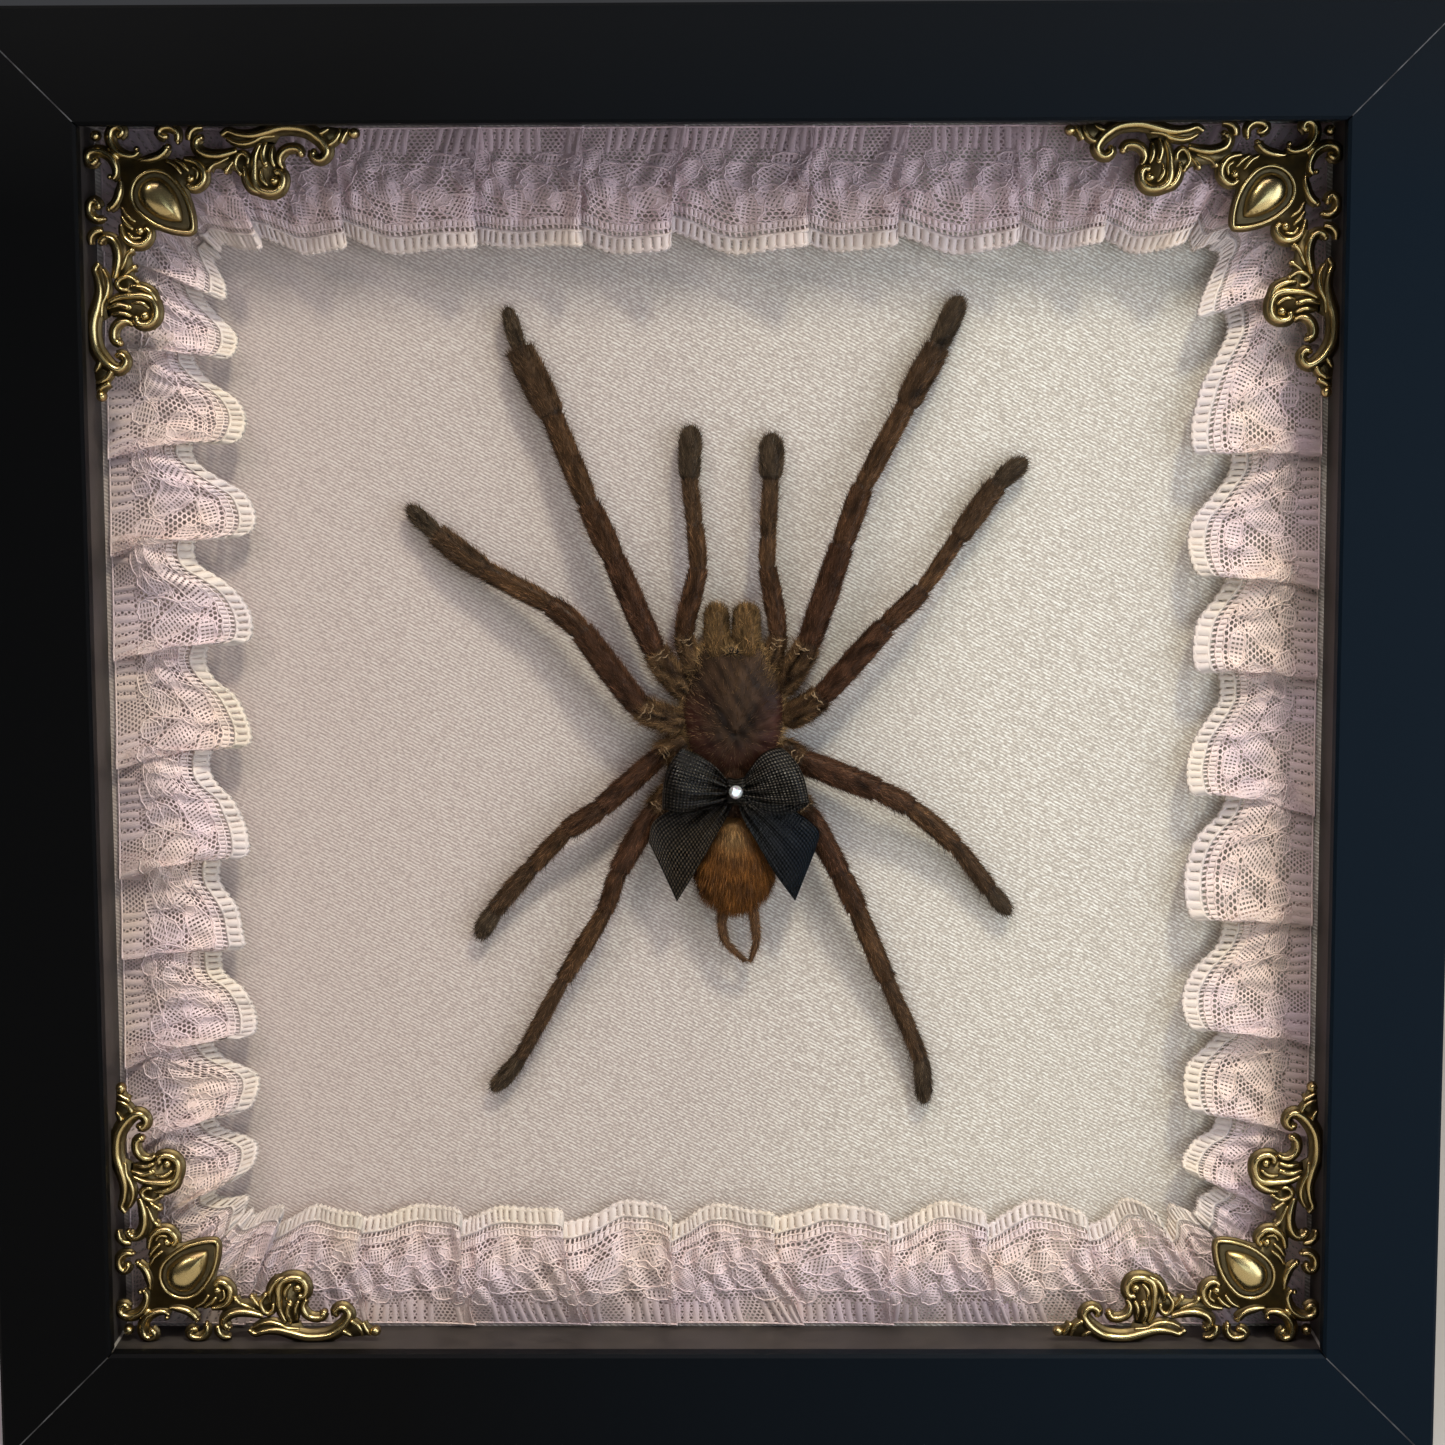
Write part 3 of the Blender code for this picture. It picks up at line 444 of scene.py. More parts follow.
def oval_ring(s, t, long, wide, lean, steps=20):
    """A petal's outline: an egg shape, leaning."""
    turn = np.linspace(0, 2 * math.pi, steps + 1)
    egg = wide * np.sin(turn) * (1.0 - 0.22 * np.cos(turn))
    along = long * np.cos(turn)
    c, n = math.cos(math.radians(lean)), math.sin(math.radians(lean))
    return np.stack([s + along * c - egg * n, t + along * n + egg * c], -1)


# Petals and leaves of one repeat: centre along and across, half length, half width, lean.
PETALS = [(7.0 + 3.7 * math.cos(a), 12.4 + 3.5 * math.sin(a), 3.0, 2.25, math.degrees(a))
          for a in (0.35, 1.62, 2.9, 4.1, 5.4)]
LEAVES = [(15.6, 15.9, 4.4, 2.2, 22.0), (21.6, 11.6, 4.6, 2.3, -58.0), (15.2, 9.0, 3.3, 2.0, 65.0),
          (0.4, 7.0, 2.5, 1.8, 70.0), (11.6, 6.3, 2.4, 1.3, 5.0), (24.6, 17.2, 2.6, 1.5, 8.0),
          (19.2, 6.6, 1.9, 1.5, 90.0)]
STEMS = [[(0.0, 9.6), (3.0, 7.4), (9.6, 7.0), (13.2, 8.4), (18.4, 8.9), (22.8, 7.0), (26.0, 9.6)],
         [(0.0, 15.2), (2.0, 17.6), (7.6, 17.2), (12.0, 18.0), (19.0, 18.3), (22.4, 15.8), (26.0, 15.2)],
         [(11.0, 12.2), (13.2, 13.2), (17.6, 12.0), (20.0, 14.4)], [(17.4, 6.2), (17.6, 9.6), (18.6, 12.4)]]
OPEN_WORK = (7.0, 12.4, 2.4)       # the flower's heart is a wider mesh
CELL = 0.52                        # side of a tulle cell
# How full the yarn is, from the ground's to the braid's.
NET, HEADING, PETAL, CORD, BAND = 0.0, 0.22, 0.4, 0.62, 1.0


def hexagons(length, cell, low, high):
    """The threads of a hexagonal mesh, as pairs of ends."""
    found = []
    for j in range(int((high - low) / (1.5 * cell)) + 1):
        t = low + 1.5 * cell * j
        shift = cell * math.sqrt(3) / 2 * (j % 2)
        s = np.arange(0, length, cell * math.sqrt(3)) + shift
        peak = np.stack([s, np.full_like(s, t)], -1)
        for across, up in ((0.0, 1.0), (math.sqrt(3) / 2, -0.5), (-math.sqrt(3) / 2, -0.5)):
            found.append(np.stack([peak, peak + cell * np.array([across, up])], 1))
    return np.concatenate(found)


def inside(points, shape, grown=0.0):
    """Which flat points fall in a petal of some repeat."""
    s, t, long, wide, lean = shape
    c, n = math.cos(math.radians(lean)), math.sin(math.radians(lean))
    ds = (points[:, 0] - s + REPEAT / 2) % REPEAT - REPEAT / 2
    dt = points[:, 1] - t
    return ((ds * c + dt * n) / (long + grown)) ** 2 + ((dt * c - ds * n) / (wide + grown)) ** 2 < 1


class Threads:
    """Collects threads laid on a gathered strip and turns them into one mesh."""

    def __init__(self, at, way):
        self.at, self.way = at, way
        self.flat, self.lifts, self.faces, self.yarns, self.count = [], [], [], [], 0

    def raised(self, flat, lift):
        """Flat points on the gathered cloth, lifted off its face."""
        s, t = flat[..., 0], flat[..., 1]
        here = self.at(s, t)
        along = self.at(s + 0.15, t) - self.at(s - 0.15, t)
        across = self.at(s, t + 0.15) - self.at(s, t - 0.15)
        face = np.cross(along, across)
        face /= np.linalg.norm(face, axis=-1, keepdims=True) + 1e-9
        return here - self.way * face * lift[:, None]

    def add(self, flat, lift, faces, yarn):
        """Keeps a patch of flat points, each with its lift off the cloth."""
        self.flat.append(flat.reshape(-1, 2))
        self.lifts.append(np.broadcast_to(lift, flat.shape[:-1]).reshape(-1))
        self.faces.append(faces + self.count)
        self.yarns.append(np.full(flat.size // 2, yarn))
        self.count += flat.size // 2

    def lay(self, ends, wide, yarn):
        """Flat single threads from end to end, each a narrow strip."""
        way = ends[:, 1] - ends[:, 0]
        side = np.stack([-way[:, 1], way[:, 0]], -1)
        side *= wide / 2 / (np.linalg.norm(side, axis=-1, keepdims=True) + 1e-9)
        corners = np.stack([ends[:, 0] - side, ends[:, 1] - side, ends[:, 1] + side, ends[:, 0] + side], 1)
        self.add(corners, 0.0, np.arange(len(ends) * 4).reshape(-1, 4), yarn)

    def cord(self, line, wide, high, yarn=CORD):
        """A laid cord: a strip with a raised back, closed beneath."""
        way = np.gradient(line, axis=0)
        side = np.stack([-way[:, 1], way[:, 0]], -1)
        side /= np.linalg.norm(side, axis=-1, keepdims=True) + 1e-9
        side *= np.broadcast_to(wide, len(line))[:, None] / 2
        ring = np.stack([line - side, line, line + side], 1)
        start = np.arange(len(line) - 1)[:, None] * 3
        around = [np.hstack([start + i, start + 3 + i, start + 3 + j, start + j])
                  for i, j in ((0, 1), (1, 2), (2, 0))]
        self.add(ring, (-0.05, high, -0.05), np.concatenate(around), yarn)

    def bar(self, start, end, wide, high, yarn=BAND):
        """One fat flat-backed bar, from end to end."""
        way = (end - start) / np.linalg.norm(end - start)
        side = np.array([-way[1], way[0]]) * wide / 2
        rows = [[at + side * across for across in (-1.0, -0.76, 0.76, 1.0)]
                for at in (start, (start + end) / 2, end)]
        lift = np.array([[-0.05, 0.6 * high, 0.6 * high, -0.05], [-0.05, high, high, -0.05],
                         [-0.05, 0.6 * high, 0.6 * high, -0.05]])
        faces = [[4 * r + i, 4 * r + 4 + i, 4 * r + 5 + i, 4 * r + 1 + i] for r in (0, 1) for i in (0, 1, 2)]
        self.add(np.array(rows), lift, np.array(faces), yarn)

    def mesh(self, name, turn):
        """All the threads as one mesh, turned to their side of the box."""
        place = self.raised(np.concatenate(self.flat), np.concatenate(self.lifts))
        c, n = math.cos(turn), math.sin(turn)
        x, z = place[:, 0] * c + place[:, 1] * n, place[:, 1] * c - place[:, 0] * n
        where = np.stack([x, SATIN_Y - place[:, 2], z], -1) * MM + np.array([0, 0, CENTRE_Z])
        data = bpy.data.meshes.new(name)
        data.from_pydata(where.tolist(), [], np.concatenate(self.faces).tolist())
        data.attributes.new("yarn", "FLOAT", "POINT").data.foreach_set("value", np.concatenate(self.yarns))
        data.shade_smooth()
        return data


nylon, tree = new_material("pink_nylon", Roughness=0.5, Sheen_Weight=0.3, Sheen_Roughness=0.4)
place = node(tree, "TexCoord").outputs["Object"]
dye = speckle(tree, place, 45.0)
twist = speckle(tree, place, 3200.0, 1.0)
full = node(tree, "Attribute", attribute_name="yarn").outputs["Fac"]
full = reckon(tree, "ADD", full, reckon(tree, "MULTIPLY", dye, 0.35))
colour = ramp(tree, full, (0.15, (0.845, 0.665, 0.645)), (0.6, (0.87, 0.70, 0.675)),
              (0.85, (0.825, 0.69, 0.65)), (1.2, (0.765, 0.672, 0.605)))
# Along the top the lace is painted mauve and darker, a painted shade for the shadow there.
high = node(tree, "SeparateXYZ", {"Vector": place}).outputs["Z"]
high = between(tree, high, 0.188, 0.204)
patches = speckle(tree, place, 62.0)
tint = ramp(tree, patches, (0.38, (0.93, 0.915, 0.985)), (0.62, (1.0, 0.975, 0.90)))
tint = tones(tree, high, tint, TOP_PAINTED_SHADE)
drive(tree, Base_Color=tones(tree, 1.0, colour, tint, "MULTIPLY"), Normal=bump(tree, twist, 0.4, 0.00006))

for side, (seed, *fall, way) in LACE_SIDES.items():
    length, at = gather(seed, *fall, way)
    threads = Threads(at, way)
    repeats = int(math.ceil(length / REPEAT))
    picks = random.Random(seed + 9)

    def run(line, wide, high, yarn=CORD):
        """One cord the whole length of the strip, from a function of the distance along."""
        s = np.arange(0, length, 0.55)
        threads.cord(np.stack([s, line(s)], -1), wide, high, yarn)

    # The heading: a close net with a selvage cord, and soft bars in groups across it.
    run(lambda s: 0.3 + 0 * s, 0.4, 0.1, HEADING)
    threads.lay(hexagons(length, 0.42, 0.4, HEADING_WIDE), 0.27, NET)
    for s in np.arange(0.5, length - 0.5, 1.5):
        if math.sin(0.42 * s + seed) > -0.75:
            threads.bar(np.array((s, 0.5)), np.array((s + 0.05, 4.6 + 0.5 * math.sin(0.9 * s))),
                        0.98, 0.07, HEADING)
    # The tulle ground, left out beneath the laid petals and opened up in each flower.
    for cell, wide, flower in ((CELL, 0.25, False), (1.7 * CELL, 0.28, True)):
        mesh_ends = hexagons(length, cell, HEADING_WIDE, LACE_WIDTH)
        middle = mesh_ends.mean(1)
        keep = (middle[:, 1] < edge_of(middle[:, 0]) - BRAID - 1.9) & (middle[:, 1] > HEADING_WIDE)
        for shape in PETALS + LEAVES:
            keep &= ~inside(middle, shape, -0.1)
        s, t, radius = OPEN_WORK
        keep &= inside(middle, (s, t, radius, radius, 0.0)) == flower
        threads.lay(mesh_ends[keep], wide, NET)
    # The laid petals and leaves: a close square grid of threads inside a scalloped cord.
    for k in range(repeats):
        for shape in PETALS + LEAVES:
            s, t, long, wide, lean = shape
            c, n = math.cos(math.radians(lean)), math.sin(math.radians(lean))
            for reach_out, reach_over, pitch, thick in ((long, wide, 0.62, 0.37), (wide, long, 0.8, 0.28)):
                for off in np.arange(-reach_out + 0.3, reach_out - 0.1, pitch):
                    half = reach_over * math.sqrt(max(0.0, 1 - (off / reach_out) ** 2)) * 0.97
                    stops = np.linspace(-half, half, max(2, int(2 * half / 0.9) + 2))
                    a, b = (off, stops) if reach_out is long else (stops, off)
                    line = np.stack([s + REPEAT * k + a * c - b * n, t + a * n + b * c], -1)
                    threads.lay(np.stack([line[:-1], line[1:]], 1), thick * picks.uniform(0.8, 1.15), PETAL)
            ring = oval_ring(s + REPEAT * k, t, long, wide, lean, 44) - (s + REPEAT * k, t)
            ring *= 1 + 0.06 * np.sin(np.arange(45) * 2 * math.pi * 9 / 44 + k + long)[:, None]
            fat = [picks.uniform(0.22, 0.44) for _ in range(44)]
            threads.cord(ring + (s + REPEAT * k, t), fat + fat[:1], 0.15, picks.uniform(PETAL, CORD))
            stitches = np.repeat(ring[:-1:2], 2, 0).reshape(-1, 2, 2) * np.array([[0.86], [1.12]])
            threads.lay(stitches + (s + REPEAT * k, t), 0.3, PETAL)
        for stem in STEMS:
            line = smooth_line(stem)
            line[:, 1] += 0.22 * np.sin(4.5 * line[:, 0])
            threads.cord(line + np.array([REPEAT * k, 0]), [picks.uniform(0.24, 0.5) for _ in line], 0.15,
                         picks.uniform(PETAL, CORD))
        threads.cord(oval_ring(OPEN_WORK[0] + REPEAT * k, OPEN_WORK[1], 0.8, 0.8, 0, 8), 0.36, 0.22)
    # The border: a narrow ribbed ribbon, an open course crossed by fine bars, and the scalloped braid.
    run(lambda s: edge_of(s) - BRAID - RIBBED_IN + 0.16 * np.sin(2.4 * s), 0.34, 0.2)
    run(lambda s: edge_of(s) - BRAID - RIBBED_OUT + 0.12 * np.sin(4.8 * s), 0.36, 0.24)
    bars = np.arange(0.4, length - 0.4, COURSE_PITCH)
    for s in bars:
        e = float(edge_of(s)) - BRAID
        threads.bar(np.array((s, e - 2.1)), np.array((s + 0.08, e - RIBBED_OUT)), 0.66, 0.13, CORD)
    low, high = edge_of(bars) - BRAID - RIBBED_OUT, edge_of(bars) - BRAID
    threads.lay(np.stack([np.stack([bars, low], -1), np.stack([bars + 0.2, high], -1)], 1), 0.3, CORD)
    run(lambda s: edge_of(s) - BRAID + 0.12, 0.8, 0.28, BAND)
    run(lambda s: edge_of(s) - 0.42 + 0.22 * np.cos(2 * math.pi * (s - 0.6) / SLIT_PITCH), 1.0, 0.31, BAND)
    closing = wander(seed + 6, 1.0, 1.4)
    for s in np.arange(0.6, length - 0.6, SLIT_PITCH):
        e = float(edge_of(s))
        threads.bar(np.array((s, e - BRAID + 0.05)), np.array((s, e - 0.12)),
                    float(closing(2.5 * s)) * picks.uniform(0.92, 1.06), 0.33)
    # Stray filaments that hang from the braid.
    for _ in range(STRAYS):
        s = picks.uniform(20, length - 20)
        bend, long = picks.uniform(-0.8, 0.8), picks.uniform(0.5, 1.5)
        line = np.array([(s + bend * k ** 2, float(edge_of(s)) - 0.1 + long * k)
                         for k in np.linspace(0, 1, 5)])
        threads.lay(np.stack([line[:-1], line[1:]], 1), 0.05, BAND)

    lace = add_piece("ruffled_lace_" + side, threads.mesh("ruffled_lace_" + side, math.radians(SIDES[side])),
                     nylon, ["lace_" + side])


# ---------------------------------------------------------------- brass corners
# Four stamped and pierced corner mounts in antiqued brass, rubbed bright on their scrolls and dark in
# the recesses. Each lies on the lace, with a bead in its corner and a teardrop boss on its diagonal.

CORNERS = {"top_left": 0, "top_right": 90, "bottom_right": 180, "bottom_left": 270}
BEAD_OUT = 97.0                    # the corner bead's distance from the centre, both ways
PLATE_BACK = 7.7                   # above the satin
PLATE_FRONT = 8.35
# One arm. u runs along it from the corner bead, v away from the liner. Each scroll is a width at its
# start, middle and end, and the points that it runs through; each bead a place and a radius.
SCROLLS = [
    (0.9, 0.95, 0.6, (4.1, 0.45), (4.65, 0.0), (4.5, -0.65), (3.8, -0.95), (3.0, -0.5), (2.7, 0.6),
     (3.0, 1.8), (3.9, 2.95), (5.3, 3.55), (6.5, 3.5), (7.2, 2.9)),
    (0.5, 0.9, 0.8, (7.2, 4.25), (8.6, 4.15), (10.1, 3.75), (11.1, 3.1), (11.7, 2.3)),
    (0.8, 0.85, 0.6, (11.5, 0.7), (10.8, 0.5), (10.4, -0.1), (10.9, -0.7), (12.0, -0.9), (12.9, -0.5),
     (13.4, 0.3), (13.3, 1.4)),
    (0.5, 0.85, 0.6, (17.3, -0.75), (16.2, -0.7), (15.35, 0.0), (15.1, 1.2)),
    (0.9, 1.0, 0.7, (16.8, 0.8), (16.2, 1.5), (16.4, 2.5), (17.3, 3.2), (18.9, 3.55), (20.6, 3.4),
     (22.6, 2.85)),
    (0.6, 1.25, 0.8, (20.2, 0.5), (21.2, -0.2), (22.4, 0.2), (23.9, 0.45), (25.4, 0.4), (27.4, -0.1),
     (29.8, -0.7), (32.4, -0.6), (34.2, 0.0), (35.9, 1.3), (36.8, 2.8), (36.4, 3.9), (35.4, 4.3), (34.5, 3.7),
     (34.6, 2.9)),
    (0.4, 0.75, 0.5, (21.0, 0.9), (22.4, 1.6), (23.9, 1.75), (25.4, 1.35), (26.6, 0.75), (28.6, 0.6)),
    (0.5, 0.9, 0.8, (29.8, 5.6), (29.3, 4.7), (29.35, 3.8), (29.9, 3.0), (30.9, 2.5), (32.2, 2.6),
     (32.7, 3.4)),
    (0.6, 1.1, 0.9, (26.3, 1.8), (25.5, 3.6), (25.3, 5.6), (25.3, 7.3), (25.9, 8.7), (27.4, 9.3), (28.9, 9.1),
     (29.7, 8.1), (29.8, 6.8), (29.2, 6.1), (28.5, 6.3)),
    (0.5, 0.8, 0.9, (27.2, 1.6), (26.7, 3.3), (27.1, 5.0)),
    (0.4, 0.7, 0.5, (26.4, 5.4), (26.4, 7.0), (27.3, 8.3)),
    (0.4, 0.7, 0.5, (28.2, 2.2), (28.0, 3.9), (28.5, 5.4)),
    (0.5, 0.9, 0.6, (23.7, 5.2), (24.0, 7.2), (24.9, 8.7), (26.3, 9.4)),
    (0.5, 0.65, 0.6, (23.1, 6.4), (22.3, 5.0), (22.7, 3.7), (23.5, 3.2), (24.3, 3.9), (24.3, 4.9)),
    (0.8, 0.6, 0.4, (18.1, 5.8), (18.8, 5.0), (20.0, 4.5), (21.3, 3.9)),
    (0.8, 0.6, 0.4, (20.8, 6.1), (21.3, 5.3), (22.1, 4.3)),
    (0.5, 0.95, 0.7, (14.1, 4.1), (15.4, 4.3), (16.5, 4.8), (17.3, 6.0), (17.3, 7.4), (16.4, 8.4),
     (15.4, 8.6), (14.7, 7.9)),
    (0.4, 0.5, 0.4, (15.4, 5.2), (16.3, 5.9), (16.2, 7.2)),
    (0.4, 0.6, 0.4, (11.4, 4.3), (12.7, 5.0), (13.8, 6.4)),
    (0.4, 0.6, 0.4, (12.8, 4.2), (14.0, 4.9), (15.0, 6.0)),
    (0.5, 0.7, 0.4, (34.4, 0.6), (36.0, 0.1), (37.2, -0.6)),
    (0.8, 0.75, 0.4, (37.0, 2.0), (38.1, 1.3), (38.8, 0.0), (38.8, -0.6)),
    (0.7, 0.75, 0.4, (39.0, 1.7), (39.5, 0.6), (40.2, -0.5)),
]
BEADS = [(4.2, 0.35, 0.62), (6.75, 2.45, 0.5), (11.7, 2.2, 0.6), (11.4, 0.6, 0.6), (16.9, 0.8, 0.62),
         (34.6, 3.0, 0.6), (32.7, 3.4, 0.6), (27.1, 5.1, 0.55), (28.4, 7.5, 0.85), (15.2, 7.1, 0.8),
         (18.1, 5.8, 0.5), (20.8, 6.1, 0.48), (23.1, 6.4, 0.48), (41.0, 0.2, 0.95), (13.3, 1.5, 0.4)]
# Flat ground between the scrolls: the middle, on the diagonal, is given in full and the rest by arm.
MIDDLE = [(3.0, 3.0), (4.6, 3.9), (7.4, 4.3), (9.9, 3.9), (11.4, 4.1), (14.5, 4.2), (16.6, 5.1), (17.0, 6.8),
          (15.9, 8.2), (15.0, 9.2), (15.5, 11.9), (15.8, 14.6), (15.4, 15.4)]
GROUND = [
    [(15.6, 4.0), (16.3, 3.1), (17.8, 3.6), (20.6, 3.5), (22.4, 3.0), (23.4, 3.0), (24.3, 4.0), (25.2, 3.4),
     (26.2, 2.0), (27.4, 1.4), (28.6, 1.6), (28.1, 3.4), (28.6, 5.2), (28.8, 6.3), (28.9, 8.4), (27.0, 9.2),
     (25.2, 9.0), (24.0, 7.8), (23.2, 6.2), (21.8, 5.9), (20.6, 5.7), (19.4, 5.6), (18.2, 5.6), (16.7, 5.3)],
    [(20.6, 0.7), (22.3, 1.5), (24.2, 1.9), (26.0, 1.7), (28.6, 1.9), (29.2, 0.8), (30.2, -0.4), (27.4, 0.0),
     (25.4, 0.4), (22.4, 0.3), (21.2, 0.0)],
    [(34.2, 0.0), (35.6, -0.5), (37.2, -0.8), (38.9, -0.6), (41.0, -0.5), (41.4, 0.6), (39.6, 1.5),
     (38.0, 1.9), (36.8, 3.0), (36.0, 1.9), (35.2, 0.9)],
]
DROP_CENTRE, DROP_ROUND, DROP_POINT = 9.6, 3.75, 8.0
SCROLL_FULL = 1.25                 # every scroll's width times this
SCROLL_SUNK = 0.15                 # a scroll's foot above the plate's back


def teardrop(grown):
    """A teardrop's outline round its centre on the diagonal, scaled, as (u, v)."""
    found = []
    for i in range(40):
        turn = 2 * math.pi * i / 40
        along, across = math.cos(turn), math.sin(turn)
        if along > 0:
            across = math.copysign(abs(across) ** 1.25, across) * (1 - 0.32 * along ** 3)
            along *= DROP_POINT / DROP_ROUND
        found.append((DROP_CENTRE + grown * DROP_ROUND * (along + across) / math.sqrt(2),
                      DROP_CENTRE + grown * DROP_ROUND * (along - across) / math.sqrt(2)))
    return found


def cast_loft(bm, wear, rings, closed_along=False):
    """Skins rings of (u, v, h, wear) points, and caps the ends unless the last meets the first."""
    made = []
    for ring in rings:
        row = []
        for u, v, h, rubbed in ring:
            vert = bm.verts.new((u, v, h))
            vert[wear] = rubbed
            row.append(vert)
        made.append(row)
    pairs = list(zip(made, made[1:])) + ([(made[-1], made[0])] if closed_along else [])
    for lower, upper in pairs:
        for i in range(len(lower)):
            bm.faces.new((lower[i - 1], lower[i], upper[i], upper[i - 1]))
    if not closed_along:
        bm.faces.new(made[0])
        bm.faces.new(made[-1])


# Half-round section of a scroll: across as a share of half its width, up as a share of its rise, wear.
SECTION = ((-1.7, 0.0, 0.0), (-1.62, 0.3, 0.35), (-1.1, 0.36, 0.1), (-0.86, 0.62, 0.45), (-0.42, 0.94, 0.95),
           (0.0, 1.0, 1.0), (0.42, 0.94, 0.95), (0.86, 0.62, 0.45), (1.1, 0.36, 0.1), (1.62, 0.3, 0.35),
           (1.7, 0.0, 0.0))


def scroll(bm, wear, line, widths, closed=False):
    """One scroll along a line, as wide as this at each of its points."""
    way = np.gradient(line, axis=0)
    way /= np.linalg.norm(way, axis=1, keepdims=True) + 1e-9
    rings = []
    for (u, v), (du, dv), wide in zip(line, way, widths):
        rise = 0.45 + 0.75 * wide
        rings.append([(u - dv * across * wide / 2, v + du * across * wide / 2,
                       PLATE_BACK + SCROLL_SUNK + rise * up, rub) for across, up, rub in SECTION])
    cast_loft(bm, wear, rings, closed)


def bead(bm, wear, u, v, radius, high, base=PLATE_BACK + 0.1, rings=5, outline=None):
    """A dome on its own round or shaped foot."""
    turns = [2 * math.pi * i / 12 for i in range(12)]
    foot = outline or [(u + radius * math.cos(turn), v + radius * math.sin(turn)) for turn in turns]
    rows = []
    for j in range(rings + 1):
        lift = math.sin(math.pi / 2 * j / rings)
        draw = math.cos(math.pi / 2 * j / (rings + 0.35))
        rows.append([(u + (a - u) * draw, v + (b - v) * draw, base + high * lift, 0.25 + 0.75 * lift)
                     for a, b in foot])
    cast_loft(bm, wear, rows)


def ground(bm, wear, outline):
    """A flat plate with this outline."""
    cast_loft(bm, wear, [[(u, v, h, rub) for u, v in outline]
                         for h, rub in ((PLATE_BACK, 0.0), (PLATE_FRONT, 0.1))])


brass, tree = new_material("antique_brass", Metallic=1.0, Roughness=0.3)
place = node(tree, "TexCoord").outputs["Object"]
rubbed = node(tree, "Attribute", attribute_name="wear").outputs["Fac"]
tarnish = speckle(tree, place, 900.0, 4.0, 0.65)
uneven = reckon(tree, "MULTIPLY", tarnish, 0.5)
polish = reckon(tree, "ADD", rubbed, uneven)
drive(tree, Base_Color=ramp(tree, polish, (0.2, (0.105, 0.083, 0.046)), (0.6, (0.20, 0.146, 0.066)),
                            (1.0, (0.40, 0.29, 0.125)), (1.25, (0.60, 0.46, 0.215))),
      Roughness=ramp(tree, polish, (0.2, 0.56), (1.1, 0.25)), Normal=bump(tree, tarnish, 0.25, 0.00005))

bm = bmesh.new()
wear = bm.verts.layers.float.new("wear")
ground(bm, wear, MIDDLE + [(v, u) for u, v in reversed(MIDDLE[1:])])
bead(bm, wear, 0.4, 0.4, 0.95, 1.5)
scroll(bm, wear, np.array([(2.4, 2.4), (3.2, 3.2), (4.0, 4.0)]), (0.7, 0.9, 0.8))
rim = np.array(teardrop(1.0))
scroll(bm, wear, rim, [0.8] * len(rim), closed=True)
cast_loft(bm, wear, [[(u, v, h, 0.0) for u, v in teardrop(grown)]
                     for grown, h in ((0.93, 8.1), (0.9, 8.4), (0.86, 8.42), (0.8, 8.4))])
bead(bm, wear, DROP_CENTRE, DROP_CENTRE, 0, 1.75, base=8.3, rings=9, outline=teardrop(0.74))
for flip in (False, True):
    for outline in GROUND:
        ground(bm, wear, [(v, u) if flip else (u, v) for u, v in outline])
    for start, middle, end, *points in SCROLLS:
        line = smooth_line(points, 0.34)
        share = np.linspace(0, 1, len(line))
        widths = SCROLL_FULL * np.interp(share, (0, 0.35, 0.7, 1), (start, middle, middle, end))
        scroll(bm, wear, line[:, ::-1] if flip else line, widths)
    for u, v, radius in BEADS:
        bead(bm, wear, *((v, u) if flip else (u, v)), radius, 0.5 + 0.95 * radius)
bmesh.ops.recalc_face_normals(bm, faces=bm.faces)
for vert in bm.verts:
    u, v, h = vert.co
    vert.co = stand(u - BEAD_OUT, BEAD_OUT - v, SATIN_Y - h)
bmesh.ops.reverse_faces(bm, faces=bm.faces)
corner_cast = bpy.data.meshes.new("corner_cast")
bm.to_mesh(corner_cast)
bm.free()
for corner, angle in CORNERS.items():
    cast = corner_cast.copy()
    about = Matrix.Translation((0, 0, CENTRE_Z))
    cast.transform(about @ Matrix.Rotation(math.radians(angle), 4, "Y") @ about.inverted())
    cast.shade_smooth()
    add_piece("brass_corner_" + corner, cast, brass, ["corner_filigree_" + corner])


# ---------------------------------------------------------------- tarantula
# One dried spider, set with its legs spread and its palps forward, and stuck to the satin by its
# underside. Chitin under a coat of brown hairs, golden round the hips and rust red on the abdomen.

